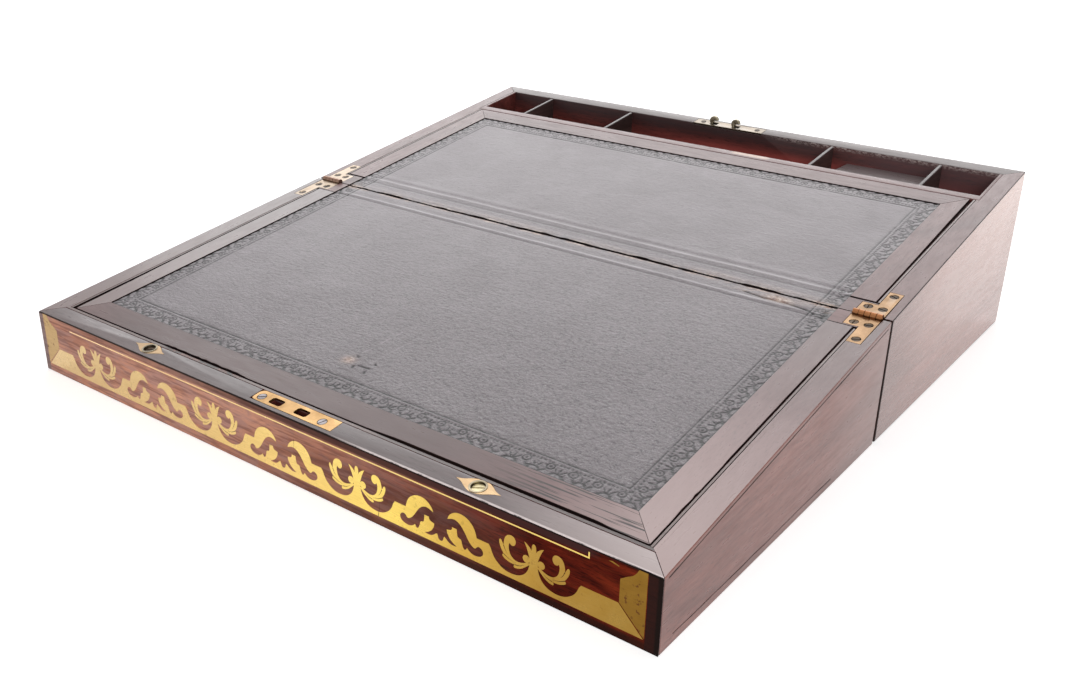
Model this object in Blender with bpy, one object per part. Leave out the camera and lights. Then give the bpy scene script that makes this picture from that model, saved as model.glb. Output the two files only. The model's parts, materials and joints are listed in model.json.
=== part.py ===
"""A writing slope: a rosewood box with brass inlay that opens into one long leather writing surface.

Metres, +Z up. X runs across the box, -Y is the writer's side and +Y the pen tray's side.
The origin is on the floor under the middle of the fold, where the lid meets the base.
The lid lies in front of the fold and the base behind it. Both have a hinged leaf with a well below it.
Places on the writing surface are given in the slope frame: x, s up the slope from the fold, n square to it.
"""
import math

import bmesh
import bpy
from mathutils import Matrix

# Case
WIDTH = 0.450
HALF_DEPTH = 0.237
FRONT_HEIGHT = 0.039
REAR_HEIGHT = 0.1115
WALL = 0.0115
BOTTOM = 0.006
FOLD_WALL = 0.0085
FOLD_RAIL = 0.015

# Clearances
FIT = 0.0003
FOLD_GAP = 0.0008
LEAF_GAP = 0.0013
LEAF_END_GAP = 0.0008
CREASE_GAP = 0.0005
CUT_OVERLAP = 0.0002
CUT_OPEN = 0.001

# Lining of the wells, with the ledge that the leaves rest on
LINING = 0.0018
LEDGE = 0.004
LEDGE_DEPTH = 0.005

# Writing leaves
BOARD = 0.005
VENEER = 0.0016
BORDER = 0.0165
LEATHER_SINK = 0.0003

# Pen tray
TRAY_DEPTH = 0.0415
TRAY_RAIL = 0.0072
TRAY_CHEEK = 0.0022
TRAY_WELL = 0.036
TRAY_FLOOR = 0.004
DIVIDER = 0.0024
DIVIDER_DROP = 0.0005
INKWELL = 0.0393
PEN_TRAY = 0.1754
COVER_DROP = 0.009
COVER_BOARD = 0.003
FINGER_GAP = 0.012

# Hinges
AXIS_RISE = 0.0004
HINGE_EDGE = 0.0055
HINGE_LENGTH = 0.0172
HINGE_FOOT = 0.0138
HINGE_ARM = 0.031
HINGE_PLATE = 0.0012
BARREL_RADIUS = 0.0021
PIN_RADIUS = 0.0008
KNUCKLES = 5
SCREW_HEAD = 0.0024
SCREW_SHANK = 0.0012
SCREW_SINK = 0.0002
SCREW_CONE = 0.0012
SCREW_TIP = 0.0015
SCREW_LENGTH = 0.006
SCREW_SLOT = 0.0006
SCREW_SLOT_DEPTH = 0.0005
SCREW_NEAR = 0.0100
SCREW_FAR = 0.0268
SCREW_FOOT = 0.0047

# Lock in the rear wall and its strike plate in the front wall
PLATE_LENGTH = 0.060
PLATE_WIDTH = 0.009
PLATE = 0.0012
HOOK_RADIUS = 0.0035
HOOK_CENTRE = 0.0024
HOOK_NOTCH = 0.0025
HOOK_STEM = 0.0005
HOOK_PLACES = (-0.0136, 0.0055)
BOLT = 0.0034
BOLT_TRAVEL = 0.0032
BOLT_MARGIN = 0.0042
SLOT_CLEARANCE = 0.0006
POCKET_DEPTH = 0.0065
CASE_LENGTH = 0.046
CASE_HEIGHT = 0.020
CASE_WALL = 0.0008
KEYHOLE_DROP = 0.0145
KEYHOLE_RADIUS = 0.0019
KEYHOLE_SLOT = 0.0017
KEYHOLE_LENGTH = 0.0062
ESCUTCHEON_RADIUS = 0.0075
ESCUTCHEON = 0.0010

# Press catches in the front rim
CATCH_PLACE = 0.1222
CATCH_EDGE = 0.0070
CATCH_LENGTH = 0.0266
CATCH_BELLY = 0.0044
CATCH_INNER_BELLY = 0.0062
CATCH_PLATE = 0.0010
CATCH_POINT = 0.25
BUTTON_RADIUS = 0.0033
BUTTON_SINK = 0.0016
BUTTON_HEIGHT = 0.0045
BUTTON_TRAVEL = 0.0018

# Brass inlay of the front face
INLAY = 0.0010
INLAY_FOOT = 0.0051
INLAY_SHIFT = -0.0015
EDGE_STRIP = 0.0058
CORNER_WIDTH = 0.0132
CORNER_HEAD = 0.0015
NOTCH_WIDTH = 0.0086
NOTCH_HEIGHT = 0.0079
BAND_DIP = 0.0027
DIP_SPAN = 0.0256
DIP_PERIOD = 0.1092
DIP_SHIFT = -0.0040
LINE = 0.0010
LINE_DROP = 0.0054
LINE_END = 0.034

# Sides of the turned pieces
BARREL_SIDES = 20
SCREW_SIDES = 16
BUTTON_SIDES = 24
CATCH_STEPS = 16
HOOK_STEPS = 14
KEYHOLE_STEPS = 10
DIP_STEPS = 20
NOTCH_STEPS = 6

# Worked out from the sizes above
FOLD_HEIGHT = (FRONT_HEIGHT + REAR_HEIGHT) / 2
SLOPE = math.atan2(REAR_HEIGHT - FRONT_HEIGHT, 2 * HALF_DEPTH)
SLOPE_COS = math.cos(SLOPE)
SLOPE_SIN = math.sin(SLOPE)
SLOPE_TAN = math.tan(SLOPE)
SLOPE_FRAME = Matrix.Translation((0, 0, FOLD_HEIGHT)) @ Matrix.Rotation(SLOPE, 4, "X")
WORLD = Matrix()
INNER_X = WIDTH / 2 - WALL
INNER_Y = HALF_DEPTH - WALL
RIM_IN = INNER_Y / SLOPE_COS
RIM_OUT = HALF_DEPTH / SLOPE_COS
LEAF_STACK = VENEER + FIT + BOARD
LEAF_X = INNER_X - FIT - LINING - LEAF_GAP
LEATHER_X = LEAF_X - BORDER - FIT
TRAY_FRONT = INNER_Y - TRAY_DEPTH - TRAY_RAIL
TRAY_BACK = TRAY_FRONT + TRAY_RAIL
CREASE = FOLD_RAIL + CREASE_GAP / 2
HINGE_OUT = WIDTH / 2 - HINGE_EDGE
HINGE_IN = HINGE_OUT - HINGE_LENGTH
HINGE_ARM_IN = INNER_X - FIT - LINING
BARREL_CLEAR = BARREL_RADIUS + FIT
LOCK_Y = INNER_Y + PLATE_WIDTH * SLOPE_COS / 2
BOLT_END = HOOK_PLACES[1] + BOLT_MARGIN
BOLT_START = HOOK_PLACES[0] - BOLT_MARGIN
CATCH_S = CATCH_EDGE - RIM_OUT


def slope_height(y, depth=0.0):
    """Height of the plane that lies depth below the writing surface, measured square to it."""
    return FOLD_HEIGHT + y * SLOPE_TAN - depth / SLOPE_COS


def upright_s(y, n):
    """Where an upright face at y cuts the slope frame's level n."""
    return (y + n * SLOPE_SIN) / SLOPE_COS


LOCK_TOP = slope_height(LOCK_Y)
TRAY_FLOOR_TOP = slope_height(TRAY_BACK) - TRAY_WELL


class Body:
    """A rigid group of pieces, carried by an empty that stands on the group's joint axis."""

    def __init__(self, name, frame, carrier=None):
        self.frame = frame
        self.empty = bpy.data.objects.new(name, None)
        bpy.context.collection.objects.link(self.empty)
        if carrier:
            self.empty.parent = carrier.empty
            self.empty.matrix_basis = carrier.frame.inverted() @ frame
        else:
            self.empty.matrix_basis = frame


def new_material(name, colour, roughness, metallic=0.0):
    material = bpy.data.materials.new(name)
    material.use_nodes = True
    shader = material.node_tree.nodes["Principled BSDF"]
    shader.inputs["Base Color"].default_value = (*colour, 1)
    shader.inputs["Roughness"].default_value = roughness
    shader.inputs["Metallic"].default_value = metallic
    return material


def add_rings(bm, *rings):
    """Adds a solid that runs through rings of matching points, closed at both ends."""
    rows = [[bm.verts.new(point) for point in ring] for ring in rings]
    bm.faces.new(rows[0])
    bm.faces.new(rows[-1])
    for row, following in zip(rows, rows[1:]):
        for i in range(len(row)):
            j = (i + 1) % len(row)
            bm.faces.new((row[i], row[j], following[j], following[i]))


def add_box(bm, low, high):
    corners = [(low[0], low[1]), (high[0], low[1]), (high[0], high[1]), (low[0], high[1])]
    add_plate(bm, corners, low[2], high[2])


def add_plate(bm, outline, low, high):
    """An outline in X and Y, thickened along Z."""
    add_rings(bm, [(x, y, low) for x, y in outline], [(x, y, high) for x, y in outline])


def add_bar(bm, outline, low, high):
    """An outline in Y and Z, drawn out along X."""
    add_rings(bm, [(low, y, z) for y, z in outline], [(high, y, z) for y, z in outline])


def add_panel(bm, outline, low, high):
    """An outline in X and Z, thickened along Y."""
    add_rings(bm, [(x, low, z) for x, z in outline], [(x, high, z) for x, z in outline])


def add_wall(bm, outline, bottom, top):
    """An upright piece over an outline in X and Y, whose ends follow heights that depend on y."""
    add_rings(bm, [(x, y, bottom(y)) for x, y in outline], [(x, y, top(y)) for x, y in outline])


def add_turned(bm, profile, sides, x=0.0, y=0.0):
    """A profile of (radius, height) turned about Z. Its first and last points are on the axis."""
    rings = []
    for radius, height in profile[1:-1]:
        turns = [2 * math.pi * i / sides for i in range(sides)]
        rings.append([(x + radius * math.cos(t), y + radius * math.sin(t), height) for t in turns])
    add_rings(bm, *rings)


def add_u_strip(bm, half_width, open_end, closed_end, section):
    """Sweeps a section of (inset, height of y) along the two sides and the closed end of a U."""
    towards = math.copysign(1, closed_end - open_end)
    stations = [[], [], [], []]
    for inset, height in section:
        x = half_width - inset
        y = closed_end - towards * inset
        stations[0].append((-x, open_end, height(open_end)))
        stations[1].append((-x, y, height(y)))
        stations[2].append((x, y, height(y)))
        stations[3].append((x, open_end, height(open_end)))
    add_rings(bm, *stations)


def circle(radius, sides, x=0.0, y=0.0):
    turns = [2 * math.pi * i / sides for i in range(sides)]
    return [(x + radius * math.cos(t), y + radius * math.sin(t)) for t in turns]


def add_object(name, bm, place, carrier):
    bmesh.ops.recalc_face_normals(bm, faces=bm.faces)
    mesh = bpy.data.meshes.new(name)
    bm.to_mesh(mesh)
    bm.free()
    piece = bpy.data.objects.new(name, mesh)
    bpy.context.collection.objects.link(piece)
    piece.parent = carrier.empty
    piece.matrix_basis = carrier.frame.inverted() @ place
    return piece


def add_piece(name, bm, material, carrier, place=WORLD, smooth=False):
    """Turns a mesh drawn in the frame place into a named piece on a body."""
    piece = add_object(name, bm, place, carrier)
    piece.data.materials.append(material)
    if smooth:
        piece.data.shade_smooth()
        piece.data.set_sharp_from_angle(angle=math.radians(35))
    return piece


def add_cutter(name, bm, carrier, place=WORLD):
    cutter = add_object(name, bm, place, carrier)
    cutter.hide_render = True
    cutter.display_type = "WIRE"
    return cutter


def combine(piece, operation, helpers):
    for helper in helpers:
        modifier = piece.modifiers.new(helper.name, "BOOLEAN")
        modifier.operation = operation
        modifier.object = helper


def cut(piece, *cutters):
    combine(piece, "DIFFERENCE", cutters)


def build_half(prefix, half, body, end_name, finish):
    """Walls, bottom, fold rail and rail leather of the lid (half -1) or of the base (half 1)."""
    near = half * FOLD_GAP / 2
    far = half * HALF_DEPTH
    far_in = half * INNER_Y
    mitre = half * FIT * math.sqrt(2)
    rail_end = half * FOLD_RAIL
    pieces = {}

    for word, side in (("left", -1), ("right", 1)):
        outer = side * WIDTH / 2
        inner = side * INNER_X
        bm = bmesh.new()
        outline = [(outer, near), (outer, far - mitre), (inner, far_in - mitre), (inner, near)]
        add_wall(bm, outline, lambda y: 0.0, slope_height)
        pieces[word] = add_piece(f"{prefix}_{word}_side", bm, finish["rosewood"], body)

    bm = bmesh.new()
    outline = [(-WIDTH / 2, far), (WIDTH / 2, far), (INNER_X, far_in), (-INNER_X, far_in)]
    add_wall(bm, outline, lambda y: 0.0, slope_height)
    pieces["end"] = add_piece(end_name, bm, finish["rosewood"], body)

    fold_wall_back = near + half * FOLD_WALL
    x = INNER_X - FIT
    bm = bmesh.new()
    outline = [(-x, near), (x, near), (x, fold_wall_back), (-x, fold_wall_back)]
    add_wall(bm, outline, lambda y: 0.0, lambda y: slope_height(y, LEAF_STACK + FIT))
    add_piece(f"{prefix}_fold_wall", bm, finish["mahogany"], body)

    bm = bmesh.new()
    edges = sorted((fold_wall_back + half * FIT, far_in - half * FIT))
    add_box(bm, (-x, edges[0], 0), (x, edges[1], BOTTOM))
    add_piece(f"{prefix}_bottom", bm, finish["mahogany"], body)

    bm = bmesh.new()
    outline = [
        (upright_s(near, 0), 0),
        (upright_s(near, -LEAF_STACK), -LEAF_STACK),
        (rail_end, -LEAF_STACK),
        (rail_end, 0),
    ]
    add_bar(bm, outline, -x, x)
    pieces["rail"] = add_piece(f"{prefix}_fold_rail", bm, finish["rosewood"], body, SLOPE_FRAME)

    bm = bmesh.new()
    low = (-LEATHER_X - FIT, -FOLD_RAIL - CUT_OPEN, -VENEER - FIT)
    add_box(bm, low, (LEATHER_X + FIT, FOLD_RAIL + CUT_OPEN, CUT_OPEN))
    cut(pieces["rail"], add_cutter(f"cut_{prefix}_rail_leather", bm, body, SLOPE_FRAME))

    bm = bmesh.new()
    edges = sorted((upright_s(near, 0), rail_end))
    add_box(bm, (-LEATHER_X, edges[0], -VENEER), (LEATHER_X, edges[1], -LEATHER_SINK))
    add_piece(f"{prefix}_rail_leather", bm, finish["leather"], body, SLOPE_FRAME)
    return pieces


def build_lining(prefix, half, body, closed_end, finish):
    """A thin lining round a well, standing up to the rim, with a ledge for the leaf."""
    ledge_level = LEAF_STACK + FIT
    section = [
        (0, lambda y: BOTTOM + FIT),
        (LINING, lambda y: BOTTOM + FIT),
        (LINING, lambda y: slope_height(y, ledge_level + LEDGE_DEPTH)),
        (LINING + LEDGE, lambda y: slope_height(y, ledge_level + LEDGE_DEPTH)),
        (LINING + LEDGE, lambda y: slope_height(y, ledge_level)),
        (LINING, lambda y: slope_height(y, ledge_level)),
        (LINING, slope_height),
        (0, slope_height),
    ]
    open_end = half * (FOLD_RAIL + LEAF_STACK * SLOPE_TAN + FIT)
    bm = bmesh.new()
    add_u_strip(bm, INNER_X - FIT, open_end, closed_end, section)
    return add_piece(f"{prefix}_lining", bm, finish["mahogany"], body)


def build_leaf(prefix, half, body, outer_edge, finish):
    """A leaf: a board, a mitred veneer border on three edges and leather up to the crease."""
    crease_end = half * (FOLD_RAIL + CREASE_GAP)
    set_back = half * LEAF_STACK * SLOPE_TAN
    bm = bmesh.new()
    edges = sorted((crease_end, outer_edge - max(set_back, 0)))
    add_box(bm, (-LEAF_X, edges[0], -LEAF_STACK), (LEAF_X, edges[1], -VENEER - FIT))
    add_piece(f"{prefix}_leaf_board", bm, finish["mahogany"], body, SLOPE_FRAME)

    section = [
        (0, lambda y: -VENEER),
        (BORDER, lambda y: -VENEER),
        (BORDER, lambda y: 0.0),
        (0, lambda y: 0.0),
    ]
    bm = bmesh.new()
    add_u_strip(bm, LEAF_X, crease_end, outer_edge, section)
    add_piece(f"{prefix}_leaf_frame", bm, finish["rosewood"], body, SLOPE_FRAME)

    bm = bmesh.new()
    edges = sorted((crease_end, outer_edge - half * (BORDER + FIT)))
    add_box(bm, (-LEATHER_X, edges[0], -VENEER), (LEATHER_X, edges[1], -LEATHER_SINK))
    add_piece(f"{prefix}_leaf_leather", bm, finish["leather"], body, SLOPE_FRAME)


def build_tray(base, cover, finish):
    """The pen tray along the rear wall: front rail with cheeks, floor, dividers and lift-out cover."""
    front = TRAY_BACK + FIT
    rear = INNER_Y - FIT
    outer = INNER_X - FIT
    cheek = outer - TRAY_CHEEK
    right = [(outer, TRAY_FRONT), (outer, rear), (cheek, rear), (cheek, TRAY_BACK)]
    outline = right + [(-x, y) for x, y in reversed(right)]
    bm = bmesh.new()
    add_wall(bm, outline, lambda y: BOTTOM + FIT, slope_height)
    add_piece("tray_front_rail", bm, finish["rosewood"], base)

    x = cheek - FIT
    bm = bmesh.new()
    add_box(bm, (-x, front, TRAY_FLOOR_TOP - TRAY_FLOOR), (x, rear, TRAY_FLOOR_TOP))
    add_piece("tray_floor", bm, finish["mahogany"], base)

    outer_place = cheek - INKWELL - DIVIDER / 2
    inner_place = (PEN_TRAY + DIVIDER) / 2
    places = (-outer_place, -inner_place, inner_place, outer_place)
    for number, place in enumerate(places, start=1):
        low = place - DIVIDER / 2
        high = place + DIVIDER / 2
        bm = bmesh.new()
        outline = [(low, front), (high, front), (high, rear), (low, rear)]
        add_wall(bm, outline, lambda y: TRAY_FLOOR_TOP + FIT, lambda y: slope_height(y, DIVIDER_DROP))
        add_piece(f"tray_divider_{number}", bm, finish["rosewood"], base)

    left = inner_place + DIVIDER / 2 + FINGER_GAP
    right = outer_place - DIVIDER / 2 - FIT
    top = slope_height(TRAY_BACK) - COVER_DROP
    foot = TRAY_FLOOR_TOP + FIT
    under = top - COVER_BOARD
    outline = [
        (left, foot),
        (left, top),
        (right, top),
        (right, foot),
        (right - COVER_BOARD, foot),
        (right - COVER_BOARD, under),
        (left + COVER_BOARD, under),
        (left + COVER_BOARD, foot),
    ]
    bm = bmesh.new()
    add_panel(bm, outline, front + FIT, rear - FIT)
    add_piece("tray_cover", bm, finish["mahogany"], cover)


def hinge_outline(side, half, edge, grow=0.0, fingers=()):
    """Plan of a hinge leaf: a foot over the fold rail, an arm along the rim and fingers to its knuckles."""
    points = [
        (HINGE_IN - grow, edge),
        (HINGE_IN - grow, HINGE_FOOT + grow),
        (HINGE_ARM_IN - grow, HINGE_FOOT + grow),
        (HINGE_ARM_IN - grow, HINGE_ARM + grow),
        (HINGE_OUT + grow, HINGE_ARM + grow),
        (HINGE_OUT + grow, edge),
    ]
    reach = (BARREL_RADIUS + PIN_RADIUS) / 2
    for low, high in reversed(fingers):
        points += [(high, edge), (high, reach), (low, reach), (low, edge)]
    return [(side * x, half * s) for x, s in points]


def knuckle_spans(numbers):
    pitch = HINGE_LENGTH / KNUCKLES
    return [(HINGE_IN + i * pitch + FIT / 2, HINGE_IN + (i + 1) * pitch - FIT / 2) for i in numbers]


def screw_profile(grow=0.0, rise=0.0):
    """A countersunk screw from the top of its head to its tip, or its grown hole with rise above it."""
    top = -SCREW_SINK
    end = -SCREW_LENGTH
    head = SCREW_HEAD + grow
    shank = SCREW_SHANK + grow
    profile = [(0, top + rise)]
    if rise:
        profile.append((head, top + rise))
    profile += [
        (head, top),
        (shank, top - SCREW_CONE),
        (shank, end + SCREW_TIP),
        (shank / 3, end - grow),
        (0, end - grow),
    ]
    return profile


def build_screw_mesh(base, finish):
    """One slotted screw, standing along Z with the plate's face at zero."""
    bm = bmesh.new()
    add_turned(bm, screw_profile(), SCREW_SIDES)
    pattern = add_piece("screw_pattern", bm, finish["screw"], base, smooth=True)
    bm = bmesh.new()
    half_slot = SCREW_SLOT / 2
    low = (-2 * SCREW_HEAD, -half_slot, -SCREW_SINK - SCREW_SLOT_DEPTH)
    add_box(bm, low, (2 * SCREW_HEAD, half_slot, CUT_OPEN))
    slot = add_cutter("cut_screw_slot", bm, base)
    cut(pattern, slot)
    depsgraph = bpy.context.evaluated_depsgraph_get()
    mesh = bpy.data.meshes.new_from_object(pattern.evaluated_get(depsgraph))
    bpy.data.objects.remove(pattern)
    bpy.data.objects.remove(slot)
    return mesh


def build_hinges(bodies, pieces, linings, finish):
    """Two hinges, each of two L-shaped leaves, a pin and six screws, let into rims and rails."""
    screw_mesh = build_screw_mesh(bodies["base"], finish)
    axis_place = SLOPE_FRAME @ Matrix.Translation((0, 0, AXIS_RISE))
    arm_middle = (HINGE_ARM_IN + HINGE_OUT) / 2
    screw_places = [
        ("foot", HINGE_IN + SCREW_FOOT, SCREW_NEAR),
        ("rim", arm_middle, SCREW_NEAR),
        ("arm", arm_middle, SCREW_FAR),
    ]
    halves = (("base", 1, range(0, KNUCKLES, 2)), ("lid", -1, range(1, KNUCKLES, 2)))
    for word, side in (("left", -1), ("right", 1)):
        ends = sorted((side * HINGE_IN, side * HINGE_OUT))
        base = bodies["base"]
        bm = bmesh.new()
        add_bar(bm, circle(PIN_RADIUS + FIT, BARREL_SIDES), ends[0] - CUT_OPEN, ends[1] + CUT_OPEN)
        bore = add_cutter(f"cut_hinge_{word}_bore", bm, base, axis_place)
        bm = bmesh.new()
        add_bar(bm, circle(BARREL_CLEAR + FIT, BARREL_SIDES), ends[0] - FIT, ends[1] + FIT)
        groove = add_cutter(f"cut_hinge_{word}_groove", bm, base, axis_place)
        bm = bmesh.new()
        add_bar(bm, circle(PIN_RADIUS, BARREL_SIDES), ends[0], ends[1])
        add_piece(f"hinge_{word}_pin", bm, finish["brass"], base, axis_place, smooth=True)

        for prefix, half, numbers in halves:
            body = bodies[prefix]
            spans = knuckle_spans(numbers)
            fingers = [(low + FIT, high - FIT) for low, high in spans]
            bm = bmesh.new()
            outline = hinge_outline(side, half, BARREL_CLEAR, fingers=fingers)
            add_plate(bm, outline, -HINGE_PLATE, 0)
            name = f"hinge_{word}_{prefix}_leaf"
            leaf = add_piece(name, bm, finish["brass"], body, SLOPE_FRAME)
            bm = bmesh.new()
            for low, high in spans:
                add_bar(bm, circle(BARREL_RADIUS, BARREL_SIDES), *sorted((side * low, side * high)))
            knuckles = add_cutter(f"join_{name}_knuckles", bm, body, axis_place)

            bm = bmesh.new()
            outline = hinge_outline(side, half, -CUT_OPEN, grow=FIT)
            add_plate(bm, outline, -HINGE_PLATE - FIT, CUT_OPEN)
            recess = add_cutter(f"cut_{name}_recess", bm, body, SLOPE_FRAME)
            bm = bmesh.new()
            for label, x, s in screw_places:
                add_turned(bm, screw_profile(FIT, CUT_OPEN), SCREW_SIDES, side * x, half * s)
                screw = bpy.data.objects.new(f"hinge_{word}_{prefix}_{label}_screw", screw_mesh)
                bpy.context.collection.objects.link(screw)
                turn = Matrix.Rotation(side * half * (x + s) / SCREW_LENGTH, 4, "Z")
                place = SLOPE_FRAME @ Matrix.Translation((side * x, half * s, 0)) @ turn
                screw.parent = body.empty
                screw.matrix_basis = body.frame.inverted() @ place
            holes = add_cutter(f"cut_{name}_holes", bm, body, SLOPE_FRAME)

            combine(leaf, "UNION", [knuckles])
            cut(leaf, bore, holes)
            cut(pieces[prefix][word], recess, groove, holes)
            cut(pieces[prefix]["rail"], recess, groove, holes)
            cut(linings[prefix], recess)


def hook_points(x, foot):
    """Outline of one hook bolt, right to left: stem, notch for the strike plate and round head."""
    height = LOCK_TOP + HOOK_CENTRE
    notch = LOCK_TOP + HOOK_NOTCH
    start = math.asin((HOOK_NOTCH - HOOK_CENTRE) / HOOK_RADIUS)
    end = math.pi + math.asin(HOOK_CENTRE / HOOK_RADIUS)
    points = [(x - HOOK_STEM, foot), (x - HOOK_STEM, notch)]
    for i in range(HOOK_STEPS + 1):
        turn = start + (end - start) * i / HOOK_STEPS
        points.append((x + HOOK_RADIUS * math.cos(turn), height + HOOK_RADIUS * math.sin(turn)))
    points.append((points[-1][0], foot))
    return points


def keyhole_outline(x, z, grow=0.0):
    """A round hole with a slot below it."""
    radius = KEYHOLE_RADIUS + grow
    half_slot = KEYHOLE_SLOT / 2 + grow
    start = -math.pi / 2 + math.asin(half_slot / radius)
    end = 3 * math.pi / 2 - math.asin(half_slot / radius)
    foot = z - KEYHOLE_LENGTH - grow
    points = []
    for i in range(KEYHOLE_STEPS + 1):
        turn = start + (end - start) * i / KEYHOLE_STEPS
        points.append((x + radius * math.cos(turn), z + radius * math.sin(turn)))
    return points + [(x - half_slot, foot), (x + half_slot, foot)]


def build_lock(base, bolt, lid, rear_wall, front_wall, finish):
    """A case with a sliding bolt in the rear wall, its rim plate and keyhole, and the strike plate."""
    half_case = CASE_LENGTH / 2
    half_bolt = BOLT / 2
    inside = half_bolt + SLOT_CLEARANCE
    outside = inside + CASE_WALL
    plate_under = LOCK_TOP - (PLATE + FIT) / SLOPE_COS - outside * SLOPE_TAN
    case_foot = plate_under - CASE_HEIGHT
    half_plate = PLATE_LENGTH / 2
    key_z = LOCK_TOP - KEYHOLE_DROP

    bm = bmesh.new()
    add_box(bm, (-half_case, LOCK_Y - outside, case_foot), (half_case, LOCK_Y + outside, plate_under))
    case = add_piece("lock_case", bm, finish["steel"], base)
    bm = bmesh.new()
    low = (CASE_WALL - half_case, LOCK_Y - inside, case_foot + CASE_WALL)
    add_box(bm, low, (half_case - CASE_WALL, LOCK_Y + inside, plate_under + CUT_OPEN))
    hollow = add_cutter("cut_lock_case_hollow", bm, base)
    bm = bmesh.new()
    low = (-half_case - FIT, LOCK_Y - outside - FIT, case_foot - FIT)
    add_box(bm, low, (half_case + FIT, LOCK_Y + outside + FIT, slope_height(HALF_DEPTH)))
    mortise = add_cutter("cut_lock_mortise", bm, base)
    bm = bmesh.new()
    add_panel(bm, keyhole_outline(0, key_z), LOCK_Y, HALF_DEPTH + CUT_OPEN)
    keyhole = add_cutter("cut_keyhole", bm, base)
    cut(case, hollow, keyhole)

    bm = bmesh.new()
    outline = circle(ESCUTCHEON_RADIUS, BUTTON_SIDES, 0, key_z - KEYHOLE_LENGTH / 3)
    add_panel(bm, outline, HALF_DEPTH - ESCUTCHEON, HALF_DEPTH)
    escutcheon = add_piece("keyhole_escutcheon", bm, finish["brass"], base, smooth=True)
    cut(escutcheon, keyhole)
    bm = bmesh.new()
    outline = circle(ESCUTCHEON_RADIUS + FIT, BUTTON_SIDES, 0, key_z - KEYHOLE_LENGTH / 3)
    add_panel(bm, outline, HALF_DEPTH - ESCUTCHEON - FIT, HALF_DEPTH + CUT_OPEN)
    escutcheon_seat = add_cutter("cut_escutcheon_seat", bm, base)

    bm = bmesh.new()
    add_box(bm, (-half_plate, RIM_IN, -PLATE), (half_plate, RIM_IN + PLATE_WIDTH, 0))
    lock_plate = add_piece("lock_plate", bm, finish["brass"], base, SLOPE_FRAME)
    bm = bmesh.new()
    low = (-half_plate - FIT, RIM_IN - CUT_OPEN, -PLATE - FIT)
    add_box(bm, low, (half_plate + FIT, RIM_IN + PLATE_WIDTH + FIT, CUT_OPEN))
    plate_seat = add_cutter("cut_lock_plate_seat", bm, base, SLOPE_FRAME)
    stem = math.sqrt(HOOK_RADIUS**2 - HOOK_CENTRE**2)
    bm = bmesh.new()
    for x in HOOK_PLACES:
        left = x - stem - SLOT_CLEARANCE
        right = x - HOOK_STEM + BOLT_TRAVEL + SLOT_CLEARANCE
        low = (left, LOCK_Y - inside, plate_under - CUT_OPEN)
        add_box(bm, low, (right, LOCK_Y + inside, LOCK_TOP + CUT_OPEN))
    cut(lock_plate, add_cutter("cut_lock_plate_slots", bm, base))
    cut(rear_wall, mortise, plate_seat, keyhole, escutcheon_seat)

    top = plate_under - FIT
    foot = case_foot + CASE_WALL + FIT
    talon = KEYHOLE_RADIUS + SLOT_CLEARANCE
    talon_top = key_z - KEYHOLE_RADIUS
    outline = [(BOLT_START, top), (BOLT_START, foot), (-talon, foot), (-talon, talon_top)]
    outline += [(talon, talon_top), (talon, foot), (BOLT_END, foot), (BOLT_END, top)]
    for x in reversed(HOOK_PLACES):
        outline += hook_points(x, top)
    bm = bmesh.new()
    add_panel(bm, outline, LOCK_Y - half_bolt, LOCK_Y + half_bolt)
    add_piece("lock_bolt", bm, finish["steel"], bolt)

    bm = bmesh.new()
    add_box(bm, (-half_plate, -RIM_IN - PLATE_WIDTH, -PLATE), (half_plate, -RIM_IN, 0))
    strike = add_piece("strike_plate", bm, finish["brass"], lid, SLOPE_FRAME)
    bm = bmesh.new()
    low = (-half_plate - FIT, -RIM_IN - PLATE_WIDTH - FIT, -PLATE - FIT)
    add_box(bm, low, (half_plate + FIT, -RIM_IN + CUT_OPEN, CUT_OPEN))
    strike_seat = add_cutter("cut_strike_seat", bm, lid, SLOPE_FRAME)
    strike_top = slope_height(-LOCK_Y)
    reach = HOOK_RADIUS + SLOT_CLEARANCE
    bm = bmesh.new()
    for x in HOOK_PLACES:
        low = (x - reach, -LOCK_Y - inside, strike_top - POCKET_DEPTH)
        add_box(bm, low, (x + reach, -LOCK_Y + inside, strike_top + CUT_OPEN))
    cut(strike, add_cutter("cut_strike_slots", bm, lid))
    bm = bmesh.new()
    low = (HOOK_PLACES[0] - reach, -LOCK_Y - inside, strike_top - POCKET_DEPTH)
    high = (HOOK_PLACES[1] + reach + BOLT_TRAVEL, -LOCK_Y + inside, strike_top)
    add_box(bm, low, high)
    cut(front_wall, strike_seat, add_cutter("cut_strike_pocket", bm, lid))


def catch_outline(clip, grow=0.0):
    """An eye with pointed ends about the button, cut straight along the rim's inner edge."""
    half_length = CATCH_LENGTH / 2 + grow
    outer = []
    inner = []
    for i in range(CATCH_STEPS + 1):
        share = 2 * i / CATCH_STEPS - 1
        swell = (1 - CATCH_POINT) * math.cos(math.pi * share / 2) ** 2 + CATCH_POINT * (1 - abs(share))
        x = half_length * share
        outer.append((x, -(CATCH_BELLY + grow) * swell))
        inner.append((x, min((CATCH_INNER_BELLY + grow) * swell, clip)))
    return outer + inner[-2:0:-1]


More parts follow.
